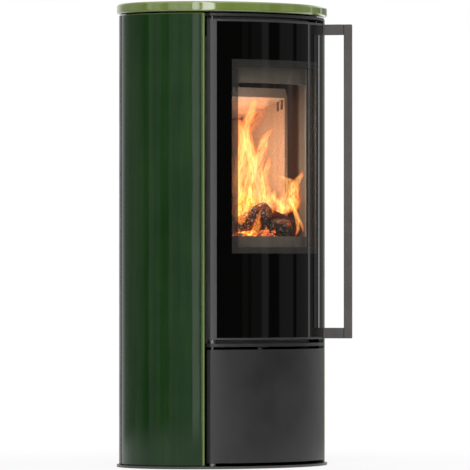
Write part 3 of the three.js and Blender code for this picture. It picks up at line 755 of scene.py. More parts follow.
@dataclass(frozen=True)
class Vermiculite(Finish):
    """Pressed flake board: warm beige, with flakes, small pits, and soot in random clouds."""

    colour: Colour = (0.50, 0.36, 0.29)
    flake: Colour = (0.60, 0.46, 0.38)
    soot_and_painted_shade: Colour = (0.20, 0.13, 0.10)
    sooty: float = 0.30

    def shader(self, board: NodeBoard) -> Socket:
        """Returns the board's shader on a node board.

        Args:
            board: The node board of the material.

        Returns:
            The shader to show on the surface.
        """
        flakes = board.cells(board.place_in_frame(), 190.0)
        clouds = board.noise(board.place_in_frame(), 11.0, detail=6.0)
        colour = board.mixed(board.between(flakes, 0.1, 0.7), self.flake, self.colour)
        smoke = board.between(clouds, 0.50, 0.82, 0.0, self.sooty)
        colour = board.mixed(smoke, colour, self.soot_and_painted_shade)
        pits = board.noise(board.place_in_frame(), 330.0, detail=4.0)
        direction = board.bump(flakes, 0.35, 0.0010)
        direction = board.bump(pits, 0.30, 0.0006, direction)
        return board.principled({"Base Color": colour, "Roughness": 0.93, "Normal": direction})


@dataclass(frozen=True)
class BlackPrint(Finish):
    """Glass printed black on its inside: deep black under a smooth glossy face, with faint wiping marks."""

    colour: Colour = (0.0012, 0.0012, 0.0011)
    shine: float = 1.5
    rough: Levels = (0.02, 0.07)

    def shader(self, board: NodeBoard) -> Socket:
        """Returns the printed glass's shader on a node board.

        Args:
            board: The node board of the material.

        Returns:
            The shader to show on the surface.
        """
        wiped = board.noise(board.place_in_frame((1.0, 1.0, 0.05)), 60.0, detail=4.0)
        dust = board.noise(board.place_in_frame(), 900.0, detail=2.0)
        haze = board.mixed(board.between(dust, 0.66, 0.80), self.colour, toned(self.colour, 2.4))
        ripple = board.noise(board.place_in_frame((1.0, 1.0, 0.04)), 30.0, detail=1.0)
        return board.principled(
            {
                "Base Color": haze,
                "Roughness": board.between(wiped, 0.35, 0.7, *self.rough),
                "IOR": self.shine,
                "Normal": board.bump(ripple, 0.05, 0.003),
            }
        )


@dataclass(frozen=True)
class ClearGlass(Finish):
    """Clear ceramic glass: it shows what is behind it and mirrors the room, more so at a low angle."""

    tint: Colour = (0.93, 0.91, 0.88)
    shine: float = 1.5
    haze: Colour = (0.30, 0.28, 0.26)
    least_haze: float = 0.004
    most_haze: float = 0.05

    def shader(self, board: NodeBoard) -> Socket:
        """Returns the glass's shader on a node board.

        Args:
            board: The node board of the material.

        Returns:
            The shader to show on the surface.
        """
        ripple = board.noise(board.place_in_frame((1.0, 1.0, 0.04)), 30.0, detail=1.0)
        direction = board.bump(ripple, 0.05, 0.003)
        streaks = board.noise(board.place_in_frame((1.0, 1.0, 0.03)), 90.0, detail=4.0)
        through = board.add("ShaderNodeBsdfTransparent", {"Color": self.tint}).outputs[0]
        film = board.add("ShaderNodeBsdfDiffuse", {"Color": self.haze}).outputs[0]
        mirror = board.add("ShaderNodeBsdfGlossy", {"Roughness": 0.03, "Normal": direction}).outputs[0]
        share = board.between(streaks, 0.45, 0.8, self.least_haze, self.most_haze)
        behind = self.blend(board, share, through, film)
        gloss = board.add("ShaderNodeFresnel", {"IOR": self.shine, "Normal": direction}).outputs[0]
        facing = board.maths("SUBTRACT", 1.0, board.add("ShaderNodeNewGeometry").outputs["Backfacing"])
        return self.blend(board, board.maths("MULTIPLY", gloss, facing), behind, mirror)

    @staticmethod
    def blend(board: NodeBoard, share: object, first: Socket, second: Socket) -> Socket:
        """Returns a shader between two shaders.

        Args:
            board: The node board.
            share: How much of the second shader it holds.
            first: The first shader.
            second: The second shader.

        Returns:
            The mixed shader.
        """
        node = board.add("ShaderNodeMixShader")
        board.feed(node.inputs[0], share)
        board.feed(node.inputs[1], first)
        board.feed(node.inputs[2], second)
        return node.outputs[0]


@dataclass(frozen=True)
class Rope(Finish):
    """Knitted glass-fibre rope, dark grey, with a close slanting knit."""

    colour: Colour = (0.060, 0.057, 0.053)

    def shader(self, board: NodeBoard) -> Socket:
        """Returns the rope's shader on a node board.

        Args:
            board: The node board of the material.

        Returns:
            The shader to show on the surface.
        """
        vector = board.place_in_frame()
        inputs = {"Vector": vector, "Scale": 120.0, "Distortion": 1.5, "Detail": 2.0}
        knit = board.add("ShaderNodeTexWave", inputs, bands_direction="DIAGONAL").outputs["Fac"]
        fuzz = board.noise(vector, 700.0, detail=4.0)
        colour = board.mixed(knit, toned(self.colour, 0.45), self.colour)
        direction = board.bump(fuzz, 0.4, 0.0006, board.bump(knit, 0.9, 0.0015))
        return board.principled({"Base Color": colour, "Roughness": 0.95, "Normal": direction})


@dataclass(frozen=True)
class Rubber(Finish):
    """Soft black pads with a matt, faintly pebbled skin."""

    colour: Colour = (0.018, 0.018, 0.018)

    def shader(self, board: NodeBoard) -> Socket:
        """Returns the rubber's shader on a node board.

        Args:
            board: The node board of the material.

        Returns:
            The shader to show on the surface.
        """
        pebbles = board.noise(board.place_in_frame(), 800.0, detail=3.0)
        colour = board.mixed(pebbles, toned(self.colour, 0.7), self.colour)
        return board.principled(
            {"Base Color": colour, "Roughness": 0.8, "Normal": board.bump(pebbles, 0.3, 0.0004)}
        )


@dataclass(frozen=True)
class CharredWood(Finish):
    """Burning wood: black char broken into blocks, with pale ash on their faces and embers in the cracks."""

    char: Colour = (0.016, 0.012, 0.010)
    ash: Colour = (0.42, 0.36, 0.32)
    glow: Colour = (1.0, 0.20, 0.02)
    ash_share: float = 0.55
    heat: float = 2.2
    cell: float = 85.0

    def shader(self, board: NodeBoard) -> Socket:
        """Returns the wood's shader on a node board.

        Args:
            board: The node board of the material.

        Returns:
            The shader to show on the surface.
        """
        vector = board.place_in_frame()
        wander = board.add("ShaderNodeTexNoise", {"Vector": vector, "Scale": 60.0}).outputs["Color"]
        bent = board.add("ShaderNodeVectorMath", {0: vector}, operation="ADD")
        nudged = board.add("ShaderNodeVectorMath", {0: wander}, operation="SCALE")
        nudged.inputs["Scale"].default_value = 0.012
        board.feed(bent.inputs[1], nudged.outputs[0])
        cracks = board.cells(bent.outputs[0], self.cell, "DISTANCE_TO_EDGE")
        dust = board.noise(board.place_in_frame(), 55.0, detail=6.0, rough=0.7)
        faces = board.maths("MULTIPLY", board.between(cracks, 0.08, 0.26), board.between(dust, 0.32, 0.50))
        colour = board.mixed(board.maths("MULTIPLY", faces, self.ash_share), self.char, self.ash)
        hot = board.noise(board.place_in_frame(), 18.0, detail=3.0)
        ember = board.maths("MULTIPLY", board.between(cracks, 0.08, 0.015), board.between(hot, 0.50, 0.68))
        return board.principled(
            {
                "Base Color": colour,
                "Roughness": 0.9,
                "Normal": board.bump(cracks, 0.9, 0.004),
                "Emission Color": self.glow,
                "Emission Strength": board.maths("MULTIPLY", ember, self.heat),
            }
        )


@dataclass(frozen=True)
class EmberBed(Finish):
    """Glowing embers: lumps from dark red to yellow-orange, with grey ash between them."""

    heat: float = 3.0
    ash: Colour = (0.16, 0.14, 0.12)
    cinder: Colour = (0.03, 0.025, 0.02)
    glows: tuple[tuple[float, Colour], ...] = (
        (0.0, (0.0, 0.0, 0.0)),
        (0.4, (0.35, 0.02, 0.0)),
        (0.7, (1.0, 0.17, 0.01)),
        (1.0, (1.0, 0.50, 0.10)),
    )

    def shader(self, board: NodeBoard) -> Socket:
        """Returns the embers' shader on a node board.

        Args:
            board: The node board of the material.

        Returns:
            The shader to show on the surface.
        """
        lumps = board.cells(board.place_in_frame(), 75.0)
        drift = board.noise(board.place_in_frame(), 26.0, detail=5.0)
        warm_part = board.maths("MULTIPLY", drift, 1.7)
        warmth = board.maths("SUBTRACT", warm_part, board.maths("MULTIPLY", lumps, 0.9))
        colour = board.ramp(board.between(warmth, 0.2, 0.9), self.glows)
        dust = board.mixed(board.between(lumps, 0.2, 0.6), self.cinder, self.ash)
        return board.principled(
            {
                "Base Color": dust,
                "Roughness": 0.95,
                "Normal": board.bump(lumps, 1.0, 0.004),
                "Emission Color": colour,
                "Emission Strength": self.heat,
            }
        )


@dataclass(frozen=True)
class Flame(Finish):
    """A sheet of flame that adds light to what is behind it: orange at its edges, yellow in its body."""

    strength: float = 1.0
    lights: tuple[tuple[float, Colour], ...] = (
        (0.0, (0.0, 0.0, 0.0)),
        (0.10, (0.50, 0.06, 0.005)),
        (0.34, (1.0, 0.32, 0.03)),
        (0.80, (1.0, 0.68, 0.25)),
    )

    def shader(self, board: NodeBoard) -> Socket:
        """Returns the flame's shader on a node board.

        Args:
            board: The node board of the material.

        Returns:
            The shader to show on the surface.
        """
        across = board.attribute("across")
        up = board.attribute("up")
        shifted = board.add("ShaderNodeCombineXYZ")
        board.feed(shifted.inputs[0], board.maths("MULTIPLY", across, 1.3))
        board.feed(shifted.inputs[1], board.attribute("tongue"))
        board.feed(shifted.inputs[2], board.maths("MULTIPLY", up, 2.6))
        curl = board.noise(shifted.outputs[0], 1.6, detail=3.0)
        licks = board.maths("MULTIPLY", board.maths("SUBTRACT", curl, 0.5), 1.1)
        off_middle = board.maths("ABSOLUTE", board.maths("ADD", across, licks))
        sides = board.between(off_middle, 1.0, 0.25)
        foot = board.between(up, 0.0, 0.12)
        tip = board.between(up, 1.0, 0.70)
        body = board.maths("MULTIPLY", board.maths("MULTIPLY", sides, foot), tip)
        strands = board.noise(shifted.outputs[0], 4.5, detail=4.0)
        body = board.maths("MULTIPLY", body, board.between(strands, 0.36, 0.60, 0.16, 1.0))
        body = board.maths("MULTIPLY", body, board.attribute("brightness"))
        colour = board.ramp(body, self.lights)
        light = board.add("ShaderNodeEmission", {"Color": colour, "Strength": self.strength}).outputs[0]
        clear = board.add("ShaderNodeBsdfTransparent").outputs[0]
        both = board.add("ShaderNodeAddShader")
        board.feed(both.inputs[0], clear)
        board.feed(both.inputs[1], light)
        return both.outputs[0]


@dataclass(frozen=True)
class StudioFloor(Finish):
    """A pale studio floor that fades into the backdrop and keeps the stove's soft shadow."""

    colour: Colour = (0.86, 0.86, 0.86)
    own_light: float = 0.86
    fade: Levels = (0.45, 1.4)

    def shader(self, board: NodeBoard) -> Socket:
        """Returns the floor's shader on a node board.

        Args:
            board: The node board of the material.

        Returns:
            The shader to show on the surface.
        """
        coordinates = board.place_in_frame()
        distance = board.add("ShaderNodeVectorMath", {0: coordinates}, operation="LENGTH").outputs["Value"]
        speckle = board.noise(coordinates, 300.0, detail=2.0)
        shade = board.mixed(speckle, toned(self.colour, 0.985), self.colour)
        matt = board.add("ShaderNodeBsdfDiffuse", {"Color": shade}).outputs[0]
        glow = board.add("ShaderNodeEmission", {"Strength": 1.0}).outputs[0]
        seen = seen_ray(board)
        lit = ClearGlass.blend(board, board.maths("MULTIPLY", seen, self.own_light), matt, glow)
        clear = board.add("ShaderNodeBsdfTransparent").outputs[0]
        return ClearGlass.blend(board, board.between(distance, *self.fade), lit, clear)


def seen_ray(board: NodeBoard) -> Socket:
    """Returns 1 where a ray comes from the camera, a mirror or glass, and 0 elsewhere.

    Args:
        board: The node board.

    Returns:
        The share, 0 or 1.
    """
    path = board.add("ShaderNodeLightPath")
    seen = board.maths("MAXIMUM", path.outputs["Is Camera Ray"], path.outputs["Is Glossy Ray"])
    return board.maths("MAXIMUM", seen, path.outputs["Is Transmission Ray"])


DARK_GLAZE = Glaze("bottle_green_glaze")
OLIVE_GLAZE = Glaze(
    "olive_green_glaze",
    deep=(0.158, 0.222, 0.044),
    pale=(0.205, 0.270, 0.070),
    thin=(0.32, 0.38, 0.15),
    shine=2.2,
    thin_share=0.6,
)
ANTHRACITE = Paint("anthracite_satin")
CASING_PAINT = Paint("rear_casing_paint", round_facets=0.012)
HANDLE_PAINT = Paint("handle_satin", colour=(0.098, 0.091, 0.086), low_rough=0.46, high_rough=0.54)
STRIP_PAINT = Paint("door_strip_paint", colour=(0.043, 0.043, 0.044), low_rough=0.30, high_rough=0.38)
PLATE_PAINT = Paint("base_plate_paint", colour=(0.070, 0.069, 0.066), low_rough=0.40, high_rough=0.50)
FIREBOX_PAINT = Paint(
    "firebox_paint",
    colour=(0.200, 0.206, 0.216),
    low_rough=0.45,
    high_rough=0.6,
    grain=0.3,
)
# Side-wall paint whose rear part carries a painted shade, the shadow behind the lining's front edge.
SHADED_FIREBOX_WALL = PaintedShadeSteel("firebox_wall_painted_shade", colour=(0.160, 0.148, 0.140), low_rough=0.45, high_rough=0.6)
STEEL = BareSteel("bare_steel")
# The retainers' near-white colour is a painted highlight. It stands for a bright reflection along their edge
# inside the window.
HIGHLIGHT_ZINC = BareSteel("zinc_with_painted_highlight", colour=(0.86, 0.85, 0.83), metallic=0.25)
IRON = CastIron("sand_cast_iron")
BOARD = Vermiculite("vermiculite_board")
BAFFLE = Vermiculite("baffle_board", colour=(0.66, 0.57, 0.52), flake=(0.74, 0.66, 0.60), sooty=0.15)
HEARTH = Vermiculite("sooty_hearth_board", sooty=0.75)
BLACK_PRINT = BlackPrint("black_printed_glass")
DOTTED_PRINT = ClearGlass("dotted_print_border", haze=(0.035, 0.034, 0.033), least_haze=0.55, most_haze=0.68)
CLEAR = ClearGlass("clear_ceramic_glass")
ROPE = Rope("knitted_rope")
PADS = Rubber("black_rubber")


# ------------------------------------------------------------------------------------------- the pieces


@dataclass
class Tiles:
    """The glazed tiles: one on each side and one on top."""

    thickness: float = 0.020
    corner_radius: float = 0.007
    edge_radius: float = 0.004
    top_overhang: float = 0.006
    top_edge_radius: float = 0.0065
    corner_steps: int = 12
    wear_start: float = math.radians(22)
    wear_end: float = math.radians(62)
    inner_wear: float = 0.1

    def wear_at(self, turn: float) -> float:
        """Returns how thin the glaze is where an outer corner has turned this far.

        Args:
            turn: How far the corner has turned.

        Returns:
            The thinness, from 0 to 1.
        """
        rising = min(1.0, turn / self.wear_start)
        falling = min(1.0, (self.wear_end - turn) / self.wear_start)
        return min(rising, max(self.inner_wear, falling))

    def end_of_tile(self, angle: float, inwards: int) -> tuple[list[Point], list[float]]:
        """Rounds one upright end of a side tile.

        Args:
            angle: The angle of the end.
            inwards: 1 where the tile lies behind the end, and -1 where it lies in front of it.

        Returns:
            The points from the outer face to the inner one, and how thin the glaze is at each.
        """
        radius = self.corner_radius
        points = []
        wear = []
        for inner in (False, True):
            for step in range(self.corner_steps + 1):
                turn = step / self.corner_steps * math.pi / 2
                along = radius * (1 - (math.cos(turn) if inner else math.sin(turn)))
                depth = radius * (1 - math.cos(turn))
                if inner:
                    depth = self.thickness - radius * (1 - math.sin(turn))
                points.append(PLAN.skin(angle + inwards * along / PLAN.per_radian(angle), depth))
                wear.append(self.inner_wear if inner else self.wear_at(turn))
        return points, wear

    def side_outline(self) -> tuple[list[Point], list[float]]:
        """Returns the plan of the right tile, and how thin the glaze is at each point."""
        radius = self.corner_radius
        first = PLAN.seam + radius / PLAN.per_radian(PLAN.seam)
        last = PLAN.tile_rear - radius / PLAN.per_radian(PLAN.tile_rear)
        outer = PLAN.arc(0.0, first, last, PLAN.steps)[1:-1]
        inner = PLAN.arc(self.thickness, last, first, PLAN.steps)[1:-1]
        rear, rear_wear = self.end_of_tile(PLAN.tile_rear, -1)
        front, front_wear = self.end_of_tile(PLAN.seam, 1)
        outline = outer + rear + inner + front[::-1]
        wear = [0.0] * len(outer) + rear_wear + [0.0] * len(inner) + front_wear[::-1]
        return outline, wear

    def build(self) -> None:
        """Builds the three tiles and the pads under the top one."""
        outline, wear = self.side_outline()
        for node, side in (("right_tile", 1), ("left_tile", -1)):
            placed = [(side * x, y) for x, y in outline][::side]
            maker = MeshMaker("glazed_" + node)
            maker.soft_prism(placed, levels_of(node), self.edge_radius, wear[::side])
            place(maker.build([DARK_GLAZE.material()], 80), Body.STOVE, "dark_green_glaze", node)
        maker = MeshMaker("glazed_top_tile")
        oval = PLAN.oval(-self.top_overhang, PLAN.back)
        maker.soft_prism(oval, levels_of("top_tile"), self.top_edge_radius, steps=8)
        place(maker.build([OLIVE_GLAZE.material()], 60), Body.STOVE, "olive_glaze", "top_tile")
        dress(PADS, "top_tile_pad_1", "top_tile_pad_2", "top_tile_pad_3", "top_tile_pad_4")


@dataclass
class SteelShell:
    """The plates, frames and casing that carry the stove."""

    base_overhang: float = 0.006
    plate_edge: float = 0.0008
    top_plate_inset: float = 0.022
    top_plate_back: float = 0.1827

    def plate(self, node: str, outline: list[Point], finish: Finish) -> None:
        """Builds one plate with softened edges in place of its node.

        Args:
            node: The plate's node.
            outline: Its outline in plan.
            finish: Its paint.
        """
        maker = MeshMaker("painted_" + node)
        maker.prism(outline, levels_of(node))
        piece = soften(maker.build([finish.material()]), self.plate_edge, 2)
        place(piece, Body.STOVE, "anthracite_paint", node)

    def build(self) -> None:
        """Builds the three plates, and dresses the frames and the casing."""
        self.plate("base_plate", PLAN.oval(-self.base_overhang, PLAN.back), PLATE_PAINT)
        rear = PLAN.back_angle(self.top_plate_inset, self.top_plate_back)
        left = PLAN.arc(self.top_plate_inset, -rear, -PLAN.run_angle(PLAN.gap), PLAN.steps)
        right = [(-x, y) for x, y in reversed(left)]
        self.plate("top_plate", left + PLAN.front(self.top_plate_inset)[1:-1] + right, ANTHRACITE)
        dress(ANTHRACITE, "middle_plate", "left_side_frame", "right_side_frame", "cupboard_back")
        dress(CASING_PAINT, "rear_casing")
        dress(STEEL, "left_tile_bracket", "right_tile_bracket")
        screws = [f"levelling_screw_{number}" for number in range(1, 5)]
        dress(STEEL, *screws)


@dataclass
class FireDoor:
    """The fire door: its steel frame, the printed outer glass, the inner pane, the seal and the handle."""

    depth: float = 0.025
    lip: float = 0.005
    rail_height: float = 0.023
    glass_outside: float = 0.0005
    glass_inside: float = 0.0045
    web_front: float = 0.005
    web_back: float = 0.009
    window_run: float = 0.055
    clear_half_angle: float = math.radians(28.5)
    border_half_angle: float = math.radians(32.0)
    clear_levels: Levels = (0.546, 0.990)
    border_levels: Levels = (0.530, 1.008)
    pane_thickness: float = 0.004
    pane_lap: float = 0.020
    window_above_foot: float = 0.207
    window_below_top: float = 0.092
    touch: float = 0.0003
    handle_reach: float = 0.0525
    handle_depth: float = 0.0205
    handle_width: float = 0.012
    arm_height: float = 0.0265
    frame_edge: float = 0.0006
    bar_edge: float = 0.0022
    arm_edge: float = 0.0010

    def strip_run(self) -> float:
        """Returns the run from the tile to the edge of the glass."""
        return PLAN.gap + PLAN.bevel + PLAN.strip

    def build_frame(self) -> None:
        """Builds the steel frame: two upright strips, two rails with lips, and the web round the window."""
        low, high = levels_of("door_frame")
        maker = MeshMaker("steel_door_frame")
        for side in (-1, 1):
            maker.prism(self.strip_outline(side), (low, high), finish=1)
        edge = PLAN.run_angle(self.strip_run())
        window = PLAN.run_angle(self.window_run)
        window_low, window_high = low + self.window_above_foot, high - self.window_below_top
        lips = PLAN.wall((0.0, self.depth), (-edge, edge), PLAN.steps)
        rails = PLAN.wall((self.web_front, self.depth), (-edge, edge), PLAN.steps)
        maker.prism(lips, (low, low + self.lip), finish=1)
        maker.prism(lips, (high - self.lip, high), finish=1)
        maker.prism(rails, (low + self.lip, low + self.rail_height))
        maker.prism(rails, (high - self.rail_height, high - self.lip))
        web = (self.web_front, self.web_back)
        whole = PLAN.wall(web, (-edge, edge), PLAN.steps)
        maker.prism(whole, (low + self.rail_height, window_low))
        maker.prism(whole, (window_high, high - self.rail_height))
        for angles in ((-edge, -window), (window, edge)):
            maker.prism(PLAN.wall(web, angles, 8), (window_low, window_high))
        piece = soften(maker.build([ANTHRACITE.material(), STRIP_PAINT.material()]), self.frame_edge, 2)
        place(piece, Body.FIRE_DOOR, "anthracite_paint", "door_frame")

    def strip_outline(self, side: int) -> list[Point]:
        """Returns the plan of one upright strip of the frame, on the side where x has this sign.

        Args:
            side: 1 for the right strip, -1 for the left one.

        Returns:
            Its points, turning left seen from above.
        """
        outer = PLAN.run_angle(PLAN.gap)
        bevelled = PLAN.run_angle(PLAN.gap + PLAN.bevel)
        glass = PLAN.run_angle(self.strip_run())
        front = PLAN.arc(0.0, glass, bevelled, 6)
        rear = [PLAN.skin(outer, PLAN.bevel), PLAN.skin(outer, self.depth), PLAN.skin(glass, self.depth)]
        return [(side * x, y) for x, y in front + rear][::side]

    def finish_of_cell(self, angle: float, level: float) -> int:
        """Returns which finish the glass has at a place: 0 clear, 1 grey border, 2 black.

        Args:
            angle: The angle of the place.
            level: Its height.

        Returns:
            The number of the finish.
        """
        if abs(angle) < self.clear_half_angle and self.clear_levels[0] < level < self.clear_levels[1]:
            return 0
        if abs(angle) < self.border_half_angle and self.border_levels[0] < level < self.border_levels[1]:
            return 1
        return 2

    def curved_pane(
        self, name: str, insets: Levels, half_angle: float, levels: Levels, printed: bool
    ) -> MeshMaker:
        """Makes a curved pane as a grid, so that each cell can have its own finish.

        Args:
            name: The pane's name.
            insets: The insets of its outer and inner face.
            half_angle: The angle from the middle to each upright edge.
            levels: The height of its foot and of its top.
            printed: Whether it has the black print with a window.

        Returns:
            The mesh maker that holds it.
        """
        maker = MeshMaker(name)
        angles = [half_angle * (2 * step / PLAN.steps - 1) for step in range(PLAN.steps + 1)]
        heights = list(levels)
        if printed:
            edges = [self.clear_half_angle, self.border_half_angle]
            angles = sorted(angles + edges + [-angle for angle in edges])
            heights = sorted(heights + list(self.clear_levels) + list(self.border_levels))
        row = len(angles)
        faces = []
        for inset in insets:
            faces.append(len(maker.points))
            for height in heights:
                maker.add_points([(*PLAN.skin(angle, inset), height) for angle in angles])
        outer, inner = faces
        for j in range(len(heights) - 1):
            for i in range(row - 1):
                middle = (angles[i] + angles[i + 1]) / 2
                level = (heights[j] + heights[j + 1]) / 2
                finish = self.finish_of_cell(middle, level) if printed else 0
                cell = [j * row + i, j * row + i + 1, (j + 1) * row + i + 1, (j + 1) * row + i]
                maker.add_face([outer + corner for corner in cell], finish)
                maker.add_face([inner + corner for corner in reversed(cell)], finish)
        last = (len(heights) - 1) * row
        edge_finish = 2 if printed else 0
        for i in range(row - 1):
            maker.add_face([outer + i + 1, outer + i, inner + i, inner + i + 1], edge_finish)
            top = last + i
            maker.add_face([outer + top, outer + top + 1, inner + top + 1, inner + top], edge_finish)
        for j in range(len(heights) - 1):
            low, high = j * row, (j + 1) * row
            maker.add_face([outer + low, outer + high, inner + high, inner + low], edge_finish)
            low, high = low + row - 1, high + row - 1
            maker.add_face([outer + high, outer + low, inner + low, inner + high], edge_finish)
        return maker

    def build_panes(self) -> None:
        """Builds the printed outer glass and the clear inner pane."""
        half_angle = PLAN.run_angle(self.strip_run() + self.touch)
        insets = (self.glass_outside, self.glass_inside)
        outer = self.curved_pane("curved_door_glass", insets, half_angle, levels_of("door_glass"), True)
        finishes = [CLEAR.material(), DOTTED_PRINT.material(), BLACK_PRINT.material()]
        place(outer.build(finishes), Body.FIRE_DOOR, "printed_glass", "door_glass")
        back = self.web_back + self.touch
        pane_angle = PLAN.run_angle(self.window_run - self.pane_lap)
        insets = (back, back + self.pane_thickness)
        inner = self.curved_pane("curved_inner_pane", insets, pane_angle, levels_of("inner_pane"), False)
        place(inner.build([CLEAR.material()]), Body.FIRE_DOOR, "clear_glass", "inner_pane")
        # The pane retainers get the near-white zinc, a painted highlight.
        dress(HIGHLIGHT_ZINC, "pane_retainer_left", "pane_retainer_right")
        dress(STEEL, "latch_striker")
        dress(ROPE, "door_seal")

    def build_handle(self) -> None:
        """Builds the full-height bar and its two arms, standing out from the right-hand strip."""
        run = PLAN.gap + PLAN.bevel + PLAN.strip / 2
        angle = PLAN.run_angle(run)
        foot = Vector((*PLAN.skin(angle), 0.0))
        turn = PLAN.facing(angle)
        low, high = levels_of("handle_bar")
        half = self.handle_width / 2
        bar = MeshMaker("rounded_handle_bar")
        bar.box((-half, half), (-self.handle_reach - self.handle_depth, -self.handle_reach), (low, high))
        arms = {
            "handle_arm_bottom": (low, low + self.arm_height),
            "handle_arm_top": (high - self.arm_height, high),
        }
        pieces = [(bar, "handle_bar", self.bar_edge)]
        for node, levels in arms.items():
            arm = MeshMaker("squared_" + node)
            arm.box((-half, half), (self.touch - self.handle_reach, -self.touch), levels)
            pieces.append((arm, node, self.arm_edge))
        for maker, node, edge in pieces:
            turned = [Vector(point) for point in maker.points]
            for point in turned:
                point.rotate(Quaternion((0.0, 0.0, 1.0), turn))
            maker.points = [tuple(foot + point) for point in turned]
            piece = soften(maker.build([HANDLE_PAINT.material()]), edge, 3)
            place(piece, Body.FIRE_DOOR, "handle_paint", node)

    def build(self) -> None:
        """Builds the whole door."""
        self.build_frame()
        self.build_panes()
        self.build_handle()


@dataclass
class LowerDoor:
    """The bent steel door of the log compartment."""

    sheet: float = 0.002
    return_depth: float = 0.028
    edge_radius: float = 0.0007

    def build(self) -> None:
        """Builds the panel and dresses its rails."""
        maker = MeshMaker("bent_lower_door_panel")
        outer = PLAN.front(self.return_depth)
        inner = PLAN.front(self.return_depth, self.sheet)
        maker.prism(outer + inner[::-1], levels_of("lower_door_panel"))
        piece = soften(maker.build([ANTHRACITE.material()]), self.edge_radius, 2)
        place(piece, Body.LOWER_DOOR, "anthracite_paint", "lower_door_panel")
        dress(ANTHRACITE, "lower_door_rail_top", "lower_door_rail_bottom")


@dataclass
class Firebox:
    """The firebox behind the glass, its lining, and the small fittings."""

    def build(self) -> None:
        """Dresses the firebox and the fittings."""
        dress(FIREBOX_PAINT, "firebox_front_frame")
        dress(SHADED_FIREBOX_WALL, "firebox_left_wall", "firebox_right_wall")
        dress(FIREBOX_PAINT, "firebox_rear_wall", "firebox_floor", "firebox_roof", "ash_shelf", "flue_spigot")
        dress(BOARD, "lining_left", "lining_right", "lining_rear")
        dress(BAFFLE, "baffle")
        bricks = [f"hearth_brick_{place_name}" for place_name in ("left", "right", "front", "rear")]
        dress(HEARTH, *bricks)
        dress(IRON, "grate", "magnet_catch")
        dress(STEEL, "ash_pan", "air_slider", "air_guide_front", "air_guide_rear")
        dress(STEEL, "hinge_pin_bottom", "hinge_pin_middle", "hinge_pin_top", "latch_bracket", "latch_roller")


def in_view(across: float, away: float, height: float) -> Vector:
    """Returns a place given along the photograph's own directions: to its right, away from it, and up.

    Args:
        across: How far to the photograph's right.
        away: How far from the camera.
        height: How far above the floor.

    Returns:
        The place in the frame.
    """
    half = math.sqrt(0.5)
    return Vector(((across + away) * half, (away - across) * half, height))


def through(knots: Sequence[Sequence[float]], share: float) -> list[float]:
    """Returns the values on a smooth curve through knots.

    Args:
        knots: The rows of values that the curve passes.
        share: How far along the curve, from 0 to 1.

    Returns:
        One row of values.
    """
    at = min(share * (len(knots) - 1), len(knots) - 1.000001)
    first = int(at)
    t = at - first
    rows = [knots[max(0, min(len(knots) - 1, first + step))] for step in (-1, 0, 1, 2)]
    values = []
    for before, start, end, after in zip(*rows):
        bend = (end - before) * t + (2 * before - 5 * start + 4 * end - after) * t**2
        bend += (3 * start - before - 3 * end + after) * t**3
        values.append(start + bend / 2)
    return values


@dataclass(frozen=True)
class BurningLog:
    """One burning log.

    Attributes:
        name: Its name.
        middle: Its middle, along the photograph's directions.
        direction: The way it lies, along the same directions.
        length: How long it is.
        radius: How thick it is.
        seed: The start of its random shape.
        finish: What its skin looks like.
    """

    name: str
    middle: tuple[float, float, float]
    direction: tuple[float, float, float]
    length: float
    radius: float
    seed: int
    finish: Finish


@dataclass(frozen=True)
class FlameRibbon:
    """One ribbon of flame.

    Attributes:
        away: How far behind the middle of the stove it stands, seen from the camera.
        knots: The places that it passes: how far to the right, how high, and the half width there.
        brightness: How bright it is.
    """

    away: float
    knots: tuple[tuple[float, float, float], ...]
    brightness: float = 1.0


BARK = CharredWood(
    "ashen_bark",
    (0.022, 0.012, 0.011),
    (0.46, 0.36, 0.35),
    ash_share=0.95,
    heat=0.9,
    cell=110.0,
)
CHAR = CharredWood("black_char", (0.010, 0.008, 0.008), (0.40, 0.37, 0.38), ash_share=0.45, heat=0.9)
RED_CHAR = CharredWood("red_lit_char", (0.055, 0.012, 0.008), (0.20, 0.08, 0.06), ash_share=0.30, heat=1.2)
BROWN_CHAR = CharredWood("brown_char", (0.060, 0.024, 0.010), (0.22, 0.10, 0.05), ash_share=0.40, heat=1.6)


